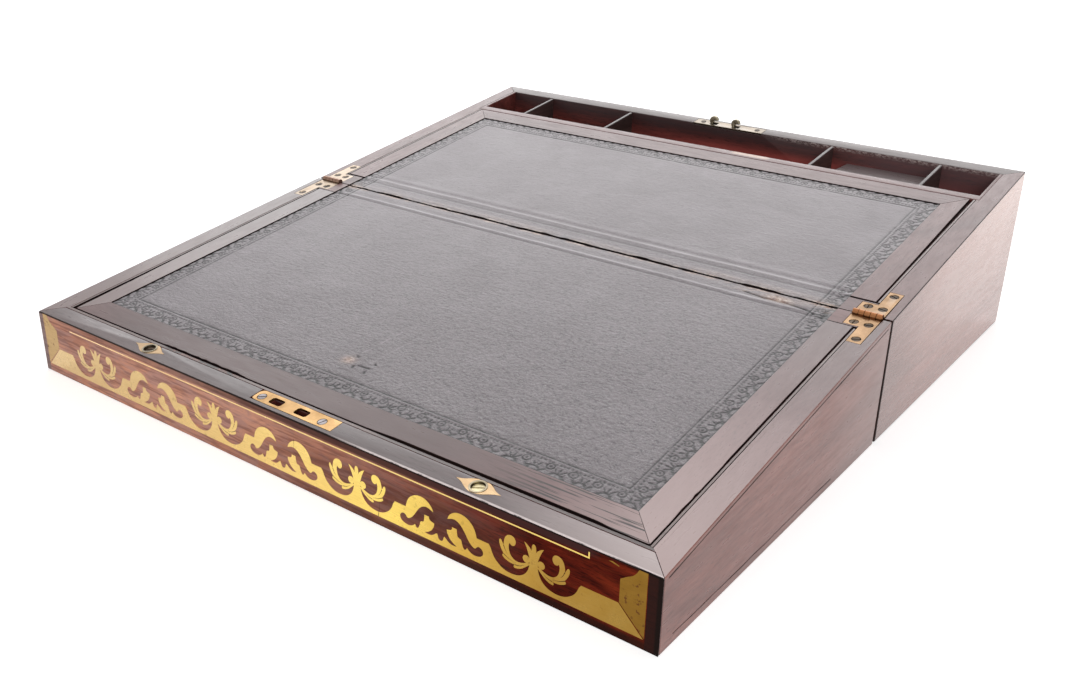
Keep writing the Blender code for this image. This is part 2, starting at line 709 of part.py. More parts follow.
def build_catches(lid, buttons, front_wall, finish):
    """Two brass eyes in the front rim, each round a sprung press button that frees the lid's leaf."""
    rim_clip = -RIM_IN - CATCH_S
    button_foot = -BUTTON_SINK - BUTTON_HEIGHT
    for word, side in (("left", -1), ("right", 1)):
        place = SLOPE_FRAME @ Matrix.Translation((side * CATCH_PLACE, CATCH_S, 0))
        bm = bmesh.new()
        add_plate(bm, catch_outline(rim_clip), -CATCH_PLATE, 0)
        plate = add_piece(f"catch_plate_{word}", bm, finish["brass"], lid, place)
        bm = bmesh.new()
        outline = catch_outline(rim_clip + CUT_OPEN, FIT)
        add_plate(bm, outline, -CATCH_PLATE - FIT, CUT_OPEN)
        seat = add_cutter(f"cut_catch_{word}_seat", bm, lid, place)
        bm = bmesh.new()
        outline = circle(BUTTON_RADIUS + FIT, BUTTON_SIDES)
        add_plate(bm, outline, button_foot - BUTTON_TRAVEL - FIT, CUT_OPEN)
        hole = add_cutter(f"cut_catch_{word}_hole", bm, lid, place)
        cut(plate, hole)
        cut(front_wall, seat, hole)
        bm = bmesh.new()
        add_plate(bm, circle(BUTTON_RADIUS, BUTTON_SIDES), button_foot, -BUTTON_SINK)
        add_piece(f"catch_button_{word}", bm, finish["brass"], buttons[word], place, smooth=True)


def build_inlay(lid, front_wall, finish):
    """Brass let into the front face: a dipping foot band, two corner panels mitred to it, a thin line."""
    face = -HALF_DEPTH
    foot = INLAY_FOOT
    outer = WIDTH / 2 - EDGE_STRIP
    inner = outer - CORNER_WIDTH
    head = FRONT_HEIGHT - CORNER_HEAD
    mitre = foot + CORNER_WIDTH
    slip = FIT * math.sqrt(2)
    rise = CORNER_WIDTH - BAND_DIP
    run = 2 * (inner - slip - abs(DIP_SHIFT - INLAY_SHIFT))
    pairs = 1 + int((run - 2 * DIP_SPAN) / DIP_PERIOD)

    def band(grow):
        """The band is as high as the mitre, with as many pairs of round dips as its run has room for."""
        ends = [(outer - slip + grow, foot - grow), (inner - slip, mitre + 2 * grow)]
        points = [(INLAY_SHIFT - x, z) for x, z in reversed(ends)]
        points += [(INLAY_SHIFT + x, z) for x, z in ends]
        for pair in range(pairs):
            place = (pairs - 1) / 2 - pair
            for i in range(DIP_STEPS + 1):
                share = 1 - 2 * i / DIP_STEPS
                wave = math.cos(math.pi * share) ** 2
                x = DIP_SHIFT + place * DIP_PERIOD + share * DIP_SPAN
                points.append((x, foot + BAND_DIP + rise * wave + 2 * grow))
        return points

    def corner(side, grow):
        points = [(outer + grow, foot - grow), (outer + grow, head + grow)]
        for i in range(NOTCH_STEPS + 1):
            turn = math.pi / 2 * (1 - i / NOTCH_STEPS)
            x = inner - grow + NOTCH_WIDTH * math.sin(turn)
            points.append((x, head + grow - NOTCH_HEIGHT * math.cos(turn)))
        points.append((inner - grow, mitre - grow))
        return [(INLAY_SHIFT + side * x, z) for x, z in points]

    def line(grow):
        end = WIDTH / 2 - LINE_END + grow
        middle = FRONT_HEIGHT - LINE_DROP
        half = LINE / 2 + grow
        return [(-end, middle - half), (end, middle - half), (end, middle + half), (-end, middle + half)]

    shapes = {
        "inlay_band": band,
        "inlay_corner_left": lambda grow: corner(-1, grow),
        "inlay_corner_right": lambda grow: corner(1, grow),
        "inlay_line": line,
    }
    for name, shape in shapes.items():
        bm = bmesh.new()
        add_panel(bm, shape(0.0), face, face + INLAY)
        add_piece(name, bm, finish["brass"], lid)
        bm = bmesh.new()
        add_panel(bm, shape(FIT), face - CUT_OPEN, face + INLAY + FIT)
        cut(front_wall, add_cutter(f"cut_{name}", bm, lid))


def trim_rear_lining(lining, base, closed_end):
    """Lowers the lining to its ledge along the tray rail, where the leaf meets the rail directly."""
    x = INNER_X - FIT - LINING
    front = closed_end - LINING - CUT_OVERLAP
    level = LEAF_STACK + FIT + CUT_OVERLAP
    outline = [(-x, front), (x, front), (x, closed_end + CUT_OPEN), (-x, closed_end + CUT_OPEN)]
    bm = bmesh.new()
    add_wall(bm, outline, lambda y: slope_height(y, level), lambda y: slope_height(y) + CUT_OPEN)
    cut(lining, add_cutter("cut_base_lining_rear", bm, base))


def main():
    for existing in list(bpy.data.objects):
        bpy.data.objects.remove(existing)

    finish = {
        "rosewood": new_material("rosewood", (0.115, 0.045, 0.030), 0.30),
        "mahogany": new_material("mahogany", (0.105, 0.030, 0.022), 0.45),
        "leather": new_material("leather", (0.045, 0.045, 0.047), 0.50),
        "brass": new_material("brass", (0.78, 0.57, 0.22), 0.28, 1.0),
        "screw": new_material("screw", (0.42, 0.34, 0.20), 0.40, 1.0),
        "steel": new_material("steel", (0.40, 0.36, 0.27), 0.42, 1.0),
    }

    base = Body("base_root", WORLD)
    lid = Body("lid_fold_axis", SLOPE_FRAME @ Matrix.Translation((0, 0, AXIS_RISE)), base)
    lid_leaf = Body("lid_leaf_axis", SLOPE_FRAME @ Matrix.Translation((0, -CREASE, 0)), lid)
    base_leaf = Body("base_leaf_axis", SLOPE_FRAME @ Matrix.Translation((0, CREASE, 0)), base)
    bolt = Body("lock_bolt_axis", Matrix.Translation((0, LOCK_Y, LOCK_TOP)), base)
    cover = Body("tray_cover_axis", Matrix.Translation((0, TRAY_BACK, TRAY_FLOOR_TOP)), base)
    buttons = {}
    for word, side in (("left", -1), ("right", 1)):
        place = SLOPE_FRAME @ Matrix.Translation((side * CATCH_PLACE, CATCH_S, 0))
        buttons[word] = Body(f"catch_{word}_axis", place, lid)

    pieces = {
        "base": build_half("base", 1, base, "base_rear_wall", finish),
        "lid": build_half("lid", -1, lid, "lid_front_wall", finish),
    }
    lining_rear = TRAY_FRONT - FIT
    linings = {
        "base": build_lining("base", 1, base, lining_rear, finish),
        "lid": build_lining("lid", -1, lid, FIT - INNER_Y, finish),
    }
    trim_rear_lining(linings["base"], base, lining_rear)
    base_leaf_end = (TRAY_FRONT - LEAF_END_GAP) / SLOPE_COS
    lid_leaf_end = (FIT + LINING + LEAF_GAP - INNER_Y) / SLOPE_COS
    build_leaf("base", 1, base_leaf, base_leaf_end, finish)
    build_leaf("lid", -1, lid_leaf, lid_leaf_end, finish)
    build_tray(base, cover, finish)
    build_hinges({"base": base, "lid": lid}, pieces, linings, finish)
    build_lock(base, bolt, lid, pieces["base"]["end"], pieces["lid"]["end"], finish)
    build_catches(lid, buttons, pieces["lid"]["end"], finish)
    build_inlay(lid, pieces["lid"]["end"], finish)


main()
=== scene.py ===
"""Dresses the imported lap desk: worn timber, tooled leather, brass inlay and plain studio light."""
import json
import math

import bmesh
import bpy
import numpy as np
from mathutils import Matrix, Vector
from mathutils.geometry import delaunay_2d_cdt

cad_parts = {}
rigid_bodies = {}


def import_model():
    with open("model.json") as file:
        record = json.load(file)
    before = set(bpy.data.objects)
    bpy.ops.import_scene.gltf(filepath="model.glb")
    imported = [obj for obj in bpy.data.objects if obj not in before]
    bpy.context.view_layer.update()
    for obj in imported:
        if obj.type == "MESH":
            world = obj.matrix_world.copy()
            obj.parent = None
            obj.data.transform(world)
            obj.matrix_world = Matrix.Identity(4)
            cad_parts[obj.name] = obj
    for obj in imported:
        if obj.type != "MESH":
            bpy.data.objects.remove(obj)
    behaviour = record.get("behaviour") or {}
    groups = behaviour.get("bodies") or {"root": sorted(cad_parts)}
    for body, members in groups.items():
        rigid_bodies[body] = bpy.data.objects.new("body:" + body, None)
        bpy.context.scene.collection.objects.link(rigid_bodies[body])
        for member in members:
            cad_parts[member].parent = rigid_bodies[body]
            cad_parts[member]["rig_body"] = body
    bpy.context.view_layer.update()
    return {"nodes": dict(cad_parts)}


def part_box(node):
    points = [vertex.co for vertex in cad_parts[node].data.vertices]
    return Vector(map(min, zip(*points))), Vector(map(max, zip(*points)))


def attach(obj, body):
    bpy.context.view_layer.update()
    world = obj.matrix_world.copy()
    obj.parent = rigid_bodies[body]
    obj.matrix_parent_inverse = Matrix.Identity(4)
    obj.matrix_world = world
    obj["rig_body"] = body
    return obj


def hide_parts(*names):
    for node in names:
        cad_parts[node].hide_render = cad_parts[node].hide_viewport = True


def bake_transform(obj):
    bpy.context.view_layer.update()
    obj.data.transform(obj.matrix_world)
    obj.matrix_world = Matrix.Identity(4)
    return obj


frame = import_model()
NODES = frame["nodes"]
scene = bpy.context.scene

MM = 0.001
SIDES = {"left": -1, "right": 1}
HALF_OF = {"lid": -1, "base": 1}


def reach(node, end, axis):
    """Where a node's box begins (end 0) or stops (end 1) along an axis, to a hundredth of a millimetre."""
    return round(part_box(node)[end]["xyz".index(axis)], 5)


HALF_WIDTH, HALF_DEPTH, REAR_HEIGHT = [reach("base_rear_wall", 1, axis) for axis in "xyz"]
WALL_IN = reach("base_right_side", 0, "x")
LINING_OUT = reach("lid_lining", 1, "x")
BOARD_X = reach("lid_leaf_board", 1, "x")
LEATHER_X = reach("lid_leaf_leather", 1, "x")

# Sizes repeated from the solids, in metres
FRONT_HEIGHT = 0.039
FRONT_LINING = 0.226
VENEER = 0.0016
FOLD_HEIGHT = (FRONT_HEIGHT + REAR_HEIGHT) / 2
SLOPE = math.atan2(REAR_HEIGHT - FRONT_HEIGHT, 2 * HALF_DEPTH)
SLOPE_SIN, SLOPE_COS, SLOPE_TAN = math.sin(SLOPE), math.cos(SLOPE), math.tan(SLOPE)
SLOPE_UP = Vector((0, -SLOPE_SIN, SLOPE_COS))

# The leaves as the photograph shows them, a little slacker in their frames than the solids
LEAF_X = 0.209
BORDER_X, BORDER_END = 0.0155, 0.0162
LEAF_STARTS = {"lid": 0.0155, "base": 0.0168}
LEAF_ENDS = {"lid": 0.22535, "base": 0.17805}
LEATHER_SINK, LEATHER_GAP = 0.0006, 0.00025
LEATHER_ENDS = {half: end - BORDER_END - LEATHER_GAP for half, end in LEAF_ENDS.items()}


def on_slope(x, s, n=0.0):
    """A point of the writing slope: across, up the slope from the fold, and above the surface."""
    return Vector((x, s * SLOPE_COS - n * SLOPE_SIN, FOLD_HEIGHT + s * SLOPE_SIN + n * SLOPE_COS))


def slope_mm(x, s, n):
    """The same point from millimetres, with the height in metres."""
    return on_slope(x * MM, s * MM, n)


def wander(x, seed, scale):
    """A smooth wandering line, mostly between -1 and 1."""
    rng = np.random.default_rng(seed)
    total = np.zeros_like(x)
    for k in range(1, 9):
        total += np.sin(x * scale * k * rng.uniform(0.7, 1.3) + rng.uniform(0, 2 * math.pi)) / k**0.7
    return total / 3.2


def bell(value, centre, width):
    return np.exp(-(((value - centre) / width) ** 2))


def bells(value, rows):
    """The sum of several bells, from rows of centre, width and height."""
    return sum(high * bell(value, centre, width) for centre, width, high in rows)


def ease(value, start, stop):
    """A smooth step from 0 at start to 1 at stop."""
    t = np.clip((value - start) / (stop - start), 0, 1)
    return t * t * (3 - 2 * t)


# Pieces

NEAR = 0.1 * MM
WELD, FLAT_ANGLE, EDGE_ANGLE = 1e-6, math.radians(0.5), math.radians(35)
# The least cosines of a face that looks a way and of a strip's top, and the greatest of a rounded arris
FACING, TOP_FACING, ARRIS_FACING = 0.9, 0.7, 0.97


def link(name, data):
    """A new object of the scene."""
    thing = bpy.data.objects.new(name, data)
    scene.collection.objects.link(thing)
    return thing


def place(name, mesh, materials, body, slot, replaces=(), crease=20):
    """Links a finished mesh as a piece that rides a body."""
    mesh.name = name
    for material in materials if isinstance(materials, list) else [materials]:
        mesh.materials.append(material)
    mesh.polygons.foreach_set("use_smooth", [True] * len(mesh.polygons))
    mesh.set_sharp_from_angle(angle=math.radians(crease))
    piece = link(name, mesh)
    if body:
        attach(piece, body)
    if replaces:
        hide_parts(*replaces)
    return piece


def to_mesh(bm):
    bmesh.ops.recalc_face_normals(bm, faces=bm.faces)
    mesh = bpy.data.meshes.new("piece")
    bm.to_mesh(mesh)
    bm.free()
    return mesh


def round_edges(bm, width, longest=0.0, skip=None):
    """Rounds the outward edges that are longer than a given length, and returns the new faces."""
    edges = [
        e for e in bm.edges
        if len(e.link_faces) == 2 and e.is_convex and e.calc_face_angle() > EDGE_ANGLE
        and e.calc_length() > longest and not (skip and skip(e))
    ]
    if not edges:
        return []
    return bmesh.ops.bevel(
        bm, geom=edges, offset=width, segments=2, profile=0.5, affect="EDGES", clamp_overlap=True
    )["faces"]


def anywhere(face):
    return True


def looks_up(face):
    return face.normal.dot(SLOPE_UP) > FACING


def looks_down(face):
    return face.normal.dot(SLOPE_UP) < -FACING


def looks_out(face):
    """A face of the box's outer skin."""
    centre = face.calc_center_median()
    beside = abs(centre.x) > HALF_WIDTH - MM and abs(face.normal.x) > FACING
    before = abs(centre.y) > HALF_DEPTH - MM and abs(face.normal.y) > FACING
    return beside or before


def on_arris(face):
    """A rounded edge of the box's outer skin."""
    centre = face.calc_center_median()
    outer = abs(centre.x) > HALF_WIDTH - MM or abs(centre.y) > HALF_DEPTH - MM
    return outer and max(abs(v) for v in face.normal) < ARRIS_FACING


def at_wall_joint(edge):
    """The edges where the lining meets the wall, which lie flush."""
    return all(LINING_OUT - NEAR < abs(v.co.x) < WALL_IN + NEAR for v in edge.verts)


def dress(node, skins, slot, width, longest=0.0, arris=None, reshape=None, skip=None):
    """A copy of a node stands for it: edges rounded, and a material for each way that its faces look."""
    bm = bmesh.new()
    bm.from_mesh(NODES[node].data)
    bmesh.ops.remove_doubles(bm, verts=bm.verts, dist=WELD)
    bmesh.ops.dissolve_limit(bm, angle_limit=FLAT_ANGLE, verts=bm.verts, edges=bm.edges)
    if reshape:
        reshape(bm)
    bm.normal_update()
    for face in bm.faces:
        face.material_index = next(i for i, (_, test) in enumerate(skins) if test(face))
    materials = [material for material, _ in skins]
    new_faces = round_edges(bm, width, longest, skip)
    if arris:
        bm.normal_update()
        for face in new_faces:
            if on_arris(face):
                face.material_index = len(materials)
        materials.append(arris)
    return place(f"{node}_dressed", to_mesh(bm), materials, NODES[node]["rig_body"], slot, (node,))


def soften(node, material, slot, width, longest=0.0):
    """A copy of a node with rounded edges and one material stands for it."""
    return dress(node, [(material, anywhere)], slot, width, longest)


def prism(rings, width):
    """A solid between two matching rings, with rounded edges and a second material off its top."""
    bm = bmesh.new()
    low, high = [[bm.verts.new(p) for p in ring] for ring in rings]
    bm.faces.new(low)
    bm.faces.new(high)
    for i in range(len(low)):
        j = (i + 1) % len(low)
        bm.faces.new((low[i], low[j], high[j], high[i]))
    bmesh.ops.recalc_face_normals(bm, faces=bm.faces)
    round_edges(bm, width)
    mesh = to_mesh(bm)
    for face in mesh.polygons:
        face.material_index = 0 if face.normal.dot(SLOPE_UP) > TOP_FACING else 1
    return mesh


def smooth_loop(points, steps=5):
    """A smooth closed line through the points; a third value marks a sharp corner."""
    count = len(points)
    p = [Vector(q[:2]) for q in points]
    sharp = [len(q) > 2 for q in points]
    line = []
    for i in range(count):
        j = (i + 1) % count
        a, b = p[i], p[j]
        chord = b - a
        if sharp[i] and sharp[j]:
            line.append(a)
            continue
        out = chord if sharp[i] else (b - p[i - 1]).normalized() * chord.length
        into = chord if sharp[j] else (p[(j + 1) % count] - a).normalized() * chord.length
        for k in range(steps):
            t = k / steps
            t2, t3 = t * t, t * t * t
            leaving = a * (2 * t3 - 3 * t2 + 1) + out * (t3 - 2 * t2 + t)
            line.append(leaving + b * (3 * t2 - 2 * t3) + into * (t3 - t2))
    return line


def stroke(path, width):
    """A thin tapering line as a closed outline."""
    p = [Vector(q) for q in path]
    left, right = [], []
    for i, q in enumerate(p):
        along = (p[min(i + 1, len(p) - 1)] - p[max(i - 1, 0)]).normalized()
        half = width / 2 * (1 - 0.8 * i / (len(p) - 1))
        across = Vector((-along.y, along.x)) * half
        left.append(q + across)
        right.append(q - across)
    return left + right[::-1]


def flip(points, axis=0.0):
    """The mirror image of an outline about an upright line."""
    return [(2 * axis - q[0], *q[1:]) for q in reversed(points)]


def both_sides(points):
    """A whole outline from its right-hand half, where points on the middle line count once."""
    return points + [q for q in flip(points) if q[0] != 0]


def shift(points, dx, dy=0.0):
    return [(q[0] + dx, q[1] + dy, *q[2:]) for q in points]


def rectangle(x0, x1, y0, y1):
    return [(x0, y0), (x1, y0), (x1, y1), (x0, y1)]


def cut_rectangle(x0, x1, y0, y1, r):
    """A rectangle with its corners cut off."""
    low, high = [(x0 + r, y0), (x1 - r, y0), (x1, y0 + r)], [(x1 - r, y1), (x0 + r, y1), (x0, y1 - r)]
    return [*low, (x1, y1 - r), *high, (x0, y0 + r)]


def circle(x, y, r, sides=24):
    turns = [2 * math.pi * i / sides for i in range(sides)]
    return [(x + r * math.cos(a), y + r * math.sin(a)) for a in turns]


def partition(loops):
    """Cuts overlapping outlines into triangles and says in which outlines each one lies."""
    points, faces = [], []
    for loop in loops:
        loop = [Vector(q[:2]) for q in loop]
        turn = sum(a.x * b.y - b.x * a.y for a, b in zip(loop, loop[1:] + loop[:1]))
        faces.append(list(range(len(points), len(points) + len(loop))))
        points += loop if turn > 0 else loop[::-1]
    verts, _, tris, _, _, inside = delaunay_2d_cdt(points, [], faces, 1, 1e-4)
    return verts, tris, inside


def panel(verts, tris, to_world, high, low):
    """A plate from chosen triangles of a partition, between two heights."""
    bm = bmesh.new()
    tops, feet, uses = {}, {}, {}
    for tri in tris:
        for i in tri:
            if i not in tops:
                tops[i] = bm.verts.new(to_world(verts[i].x, verts[i].y, high))
                feet[i] = bm.verts.new(to_world(verts[i].x, verts[i].y, low))
        bm.faces.new([tops[i] for i in tri])
        bm.faces.new([feet[i] for i in reversed(tri)])
        for a, b in zip(tri, tri[1:] + tri[:1]):
            uses.setdefault(frozenset((a, b)), []).append((a, b))
    for pairs in uses.values():
        if len(pairs) == 1:
            a, b = pairs[0]
            bm.faces.new((tops[b], tops[a], feet[a], feet[b]))
    return to_mesh(bm)


def pierced_plate(outline, holes, high, low):
    """A plate on the slope from an outline in millimetres, with holes."""
    verts, tris, inside = partition([outline, *holes])
    solid = [tri for tri, owners in zip(tris, inside) if owners == [0]]
    return panel(verts, solid, slope_mm, high, low)


def slotted_head(x, s, r, turn, levels):
    """A screw head or button on the slope: a disc with a slot, from the levels of top, slot and foot."""
    top, floor, foot = levels
    c, q = math.cos(turn), math.sin(turn)
    half_length, half_width = 1.2 * r, 0.13 * r
    bar = rectangle(-half_length, half_length, -half_width, half_width)
    slot = [(x + a * c - b * q, s + a * q + b * c) for a, b in bar]
    verts, tris, inside = partition([circle(x, s, r), slot])
    bm = bmesh.new()
    for owners_of_part, high in (([0], top), ([0, 1], floor)):
        part = [tri for tri, owners in zip(tris, inside) if sorted(owners) == owners_of_part]
        mesh = panel(verts, part, slope_mm, high, foot)
        bm.from_mesh(mesh)
        bpy.data.meshes.remove(mesh)
    return to_mesh(bm)


# Materials


class Nodes:
    """A small helper that adds and joins the shader nodes of a material or a world."""

    def __init__(self, name, kind="materials", shader="Principled BSDF"):
        self.owner = getattr(bpy.data, kind).new(name)
        self.owner.use_nodes = True
        self.tree = self.owner.node_tree
        self.shader = self.tree.nodes[shader]

    def add(self, kind, inputs=None, **settings):
        node = self.tree.nodes.new(f"ShaderNode{kind}")
        for key, value in settings.items():
            setattr(node, key, value)
        for key, value in (inputs or {}).items():
            self.put(node, key, value)
        return node

    def put(self, node, key, value):
        if isinstance(value, bpy.types.NodeSocket):
            self.tree.links.new(value, node.inputs[key])
        else:
            node.inputs[key].default_value = value

    def noise(self, vector, scale, detail=4.0, rough=0.55, distortion=0.0):
        inputs = {"Vector": vector, "Scale": scale, "Detail": detail, "Roughness": rough}
        return self.add("TexNoise", {**inputs, "Distortion": distortion}).outputs["Fac"]

    def stretched(self, along, across, detail=3, rough=0.6, distortion=0.0, turn=0.0):
        """Noise with one scale along X and another across it."""
        return self.noise(self.coords((along, across, across), (0, 0, turn)), 1.0, detail, rough, distortion)

    def ramp(self, fac, *stops):
        node = self.add("ValToRGB", {"Fac": fac})
        elements = node.color_ramp.elements
        while len(elements) < len(stops):
            elements.new(0.5)
        for element, (at, colour) in zip(elements, stops):
            element.position = at
            element.color = (*colour, 1)
        return node.outputs["Color"]

    def grey(self, fac, *stops):
        return self.ramp(fac, *[(at, (v, v, v)) for at, v in stops])

    def mix(self, fac, a, b):
        node = self.add("Mix", data_type="RGBA")
        for key, value in ((0, fac), (6, a), (7, b)):
            self.put(node, key, (*value, 1) if isinstance(value, tuple) else value)
        return node.outputs[2]

    def math(self, operation, a, b=0.0):
        return self.add("Math", {0: a, 1: b}, operation=operation).outputs[0]

    def times(self, *shares):
        """The product of several shares, where three values are an axis and a stretch of it."""
        first, *others = [self.share(*v) if isinstance(v, tuple) else v for v in shares]
        for other in others:
            first = self.math("MULTIPLY", first, other)
        return first

    def plus(self, level, *shares):
        """A level raised by the product of several shares."""
        return self.math("ADD", level, self.times(*shares))

    def tint(self, colour, *shares):
        """Mixes a colour into the tone so far, by the product of several shares."""
        self.tone = self.mix(self.times(*shares), self.tone, colour)

    def coords(self, scale=(1, 1, 1), rotation=(0, 0, 0)):
        source = self.add("TexCoord").outputs["Object"]
        inputs = {"Vector": source, "Scale": scale, "Rotation": rotation}
        return self.add("Mapping", inputs).outputs["Vector"]

    def axis(self, word):
        return self.add("SeparateXYZ", {0: self.add("TexCoord").outputs["Object"]}).outputs[word]

    def span(self, value, start, stop):
        """How far a value lies between two limits, 0 to 1."""
        return self.add("MapRange", {"Value": value, "From Min": start, "From Max": stop}).outputs[0]

    def share(self, word, start, stop):
        """How far a point lies between two places along an axis, 0 to 1."""
        return self.span(self.axis(word), start, stop)

    def drop(self):
        """How far a point lies under the writing slope, straight down."""
        rise = self.math("MULTIPLY", self.axis("Y"), SLOPE_TAN)
        return self.math("SUBTRACT", self.math("ADD", rise, FOLD_HEIGHT), self.axis("Z"))

    def bump(self, height, distance, strength=1.0):
        node = self.add("Bump", {"Height": height, "Distance": distance, "Strength": strength})
        self.put(self.shader, "Normal", node.outputs["Normal"])

    def finish(self, roughness, **constants):
        self.put(self.shader, "Base Color", self.tone)
        self.put(self.shader, "Roughness", roughness)
        for key, value in constants.items():
            self.put(self.shader, key.replace("_", " ").title().replace("Ior", "IOR"), value)
        return self.owner


FIGURE_SCALE, STREAK_SCALE, PORE_SCALE = 38, 420, 1500
GRAIN_STRETCH = 0.12
BLOOM_TINT = (1.0, 0.76, 0.69, 1.0)


def wood(
    name, axis, tones, rough=0.3, coat=0.0, specular=0.5, bloom=0.0, streaks=0.75, pores=0.8, haze=None
):
    """Polished timber with its grain along an axis: broad figure, fine streaks and open pores."""
    n = Nodes(name)
    dark, mid, light = tones
    along = [GRAIN_STRETCH if word == axis else 1 for word in "xyz"]
    tilt = (-SLOPE, 0, 0) if axis == "y" else (0, 0, 0)

    def grain(scale, *shape):
        return n.noise(n.coords([a * scale for a in along], tilt), 1.0, *shape)

    n.broad = grain(FIGURE_SCALE, 5, 0.6, 1.4)
    n.streak = grain(STREAK_SCALE, 3, 0.6)
    pore = grain(PORE_SCALE, 2, 0.5)
    n.tone = n.ramp(n.broad, (0.3, dark), (0.5, mid), (0.72, light))
    n.tint(dark, n.grey(n.streak, (0.36, streaks), (0.62, 0.0)))
    n.tint(tuple(c * 0.35 for c in dark), n.grey(pore, (0.33, pores), (0.43, 0.0)))
    if haze:
        haze(n)
    n.bump(pore, 0.06 * MM, 0.5)
    roughness = n.grey(n.streak, (0.3, rough + 0.1), (0.7, rough - 0.04))
    return n.finish(
        roughness, coat_weight=coat, coat_roughness=0.14, specular_ior_level=specular,
        sheen_weight=bloom, sheen_roughness=0.4, sheen_tint=BLOOM_TINT,
    )


# Each haze below says where a timber has faded, darkened or worn, and where sheen, highlights or shade are
# painted on it, in metres along the axes

WHOLE_WIDTH = ("X", -HALF_WIDTH, HALF_WIDTH)
FRONT_TOP = ("Z", 0.0378, 0.0383)
REAR_INNER = 0.224


def front_fade_and_glare(n):
    """The front is deep red at its right end and bleached orange to the left, with painted glare in pinkish
    grey patches there, and dark long edges.
    """
    pale = n.ramp(
        n.broad, (0.32, (0.3, 0.13, 0.095)), (0.48, (0.56, 0.26, 0.175)), (0.66, (0.76, 0.39, 0.27))
    )
    # The pinkish grey blotches on the left part are painted glare
    blotch = n.grey(n.stretched(55, 150, 4, 0.6, 0.8), (0.44, 0.0), (0.6, 0.7))
    fine = n.grey(n.stretched(45, 560), (0.4, 0.6), (0.53, 0.0))
    pale = n.mix(fine, n.mix(blotch, pale, (0.47, 0.27, 0.235)), (0.23, 0.11, 0.09))
    n.tint(pale, ("X", 0.16, -0.07))
    glow = n.grey(n.broad, (0.45, 0.0), (0.6, 0.7))
    n.tint((0.28, 0.04, 0.012), ("X", 0.15, 0.205), glow)
    upper = n.times(("Z", 0.0343, 0.0354), ("X", -0.26, 0.02), ("X", 0.195, 0.188), 0.85)
    n.tint((0.05, 0.021, 0.02), upper)
    n.tint((0.018, 0.007, 0.005), ("Z", 0.005, 0.003), ("X", -0.02, 0.16), 0.85)
    n.tint((0.016, 0.01, 0.009), FRONT_TOP, 0.9)


def edging_fade(n):
    """The front's edging is brown at the left and nearly black at the right and along the top."""
    run = n.ramp(
        n.share(*WHOLE_WIDTH), (0.0, (0.32, 0.215, 0.2)), (0.3, (0.15, 0.08, 0.072)),
        (0.62, (0.055, 0.024, 0.019)), (1.0, (0.03, 0.008, 0.006)),
    )
    n.tint(run, n.grey(n.streak, (0.3, 0.55), (0.65, 0.95)))
    n.tint((0.006, 0.0045, 0.004), FRONT_TOP, 0.9)
    n.tint((0.008, 0.005, 0.004), ("X", 0.2222, 0.2232), 0.85)


def lid_side_painted_sheen(n):
    """The lid's sides are painted a lighter grey towards the fold, for the sheen on their polish."""
    n.tint((0.3, 0.205, 0.195), ("Y", -0.08, -0.005), 0.6)


def base_side_painted_glare(n):
    """The base's sides carry painted glare, paler towards the top and the rear, and are darker towards the
    fold.
    """
    high = n.plus(0.3, n.span(n.drop(), 0.08, 0.01), 0.7)
    n.tint((0.66, 0.45, 0.4), ("Y", -0.02, 0.2), high)
    n.tint((0.11, 0.066, 0.062), ("Y", 0.07, 0.0), 0.6)


def split_grain(n):
    """The leaf's front border is dark in its middle, pale near the right mitre with wear and painted sheen,
    and split there.
    """
    n.tint((0.082, 0.051, 0.05), ("X", -0.24, -0.15), ("X", 0.17, 0.08), 0.8)
    n.tint((0.4, 0.295, 0.285), ("X", 0.15, 0.2), 0.8)
    crack = n.grey(n.stretched(28, 900, 3, 0.5), (0.54, 0.0), (0.58, 0.95))
    n.tint((0.012, 0.008, 0.008), ("X", 0.11, 0.15), ("Y", -0.19, -0.21), crack)


def broken_string(n):
    """A length of the front string is lost, with red wood and dirt showing, and its right half is dark."""
    rough = n.ramp(n.stretched(200, 700), (0.45, (0.01, 0.006, 0.005)), (0.62, (0.16, 0.06, 0.045)))
    n.tint(rough, ("X", -0.118, -0.112), ("X", -0.048, -0.056))
    n.tint((0.085, 0.066, 0.064), ("X", 0.046, 0.056), 0.8)


def rim_corner(n):
    """The front rim is darkest in its middle, with a painted highlight at its right corner and along its
    right edge.
    """
    n.tint((0.055, 0.039, 0.039), ("X", -0.14, -0.04), ("X", 0.14, 0.06), 0.4)
    n.tint((0.42, 0.345, 0.338), ("X", 0.13, 0.215), ("Y", 0.0, -0.1))
    n.tint((0.66, 0.57, 0.56), ("X", 0.03, 0.06), ("Y", -0.2358, -0.2363), 0.8)


def lid_rim_painted_sheen(n):
    """The lid's long rims carry painted sheen: paler towards the front, and darker towards the fold and at
    the left.
    """
    n.tint((0.07, 0.032, 0.031), ("Y", -0.14, -0.02), 0.8)
    n.tint((0.42, 0.31, 0.3), ("Y", -0.1, -0.22), 0.8)
    n.tint((0.09, 0.062, 0.06), ("X", 0.0, -0.2), 0.6)


def chipped_rim(n):
    """The rear rim's inner edge is chipped towards the right."""
    near = ("Y", REAR_INNER + 2.2 * MM, REAR_INNER + 1.0 * MM)
    specks = n.grey(n.stretched(160, 420), (0.46, 0.0), (0.54, 0.45))
    n.tint((0.055, 0.04, 0.04), near, ("X", 0.03, 0.06), specks)


def tray_shade(n):
    """The tray's rear face is red low down, nearly black with painted shade under the rim, and grey and worn
    to the right.
    """
    drop = n.drop()
    n.tint((0.34, 0.068, 0.058), n.span(drop, 0.01, 0.02), ("X", -0.1, 0.0))
    n.tint((0.056, 0.031, 0.034), ("X", 0.09, 0.13), 0.7)
    # Painted shade under the rim, to the left of the grey part
    n.tint((0.022, 0.014, 0.015), n.span(drop, 0.015, 0.005), ("X", 0.13, 0.07), 0.8)
    specks = n.grey(n.stretched(420, 700, 4, 0.7), (0.44, 0.0), (0.6, 1.0))
    n.tint((0.34, 0.27, 0.255), n.span(drop, 0.0036, 0.0006), ("X", 0.03, 0.06), specks)


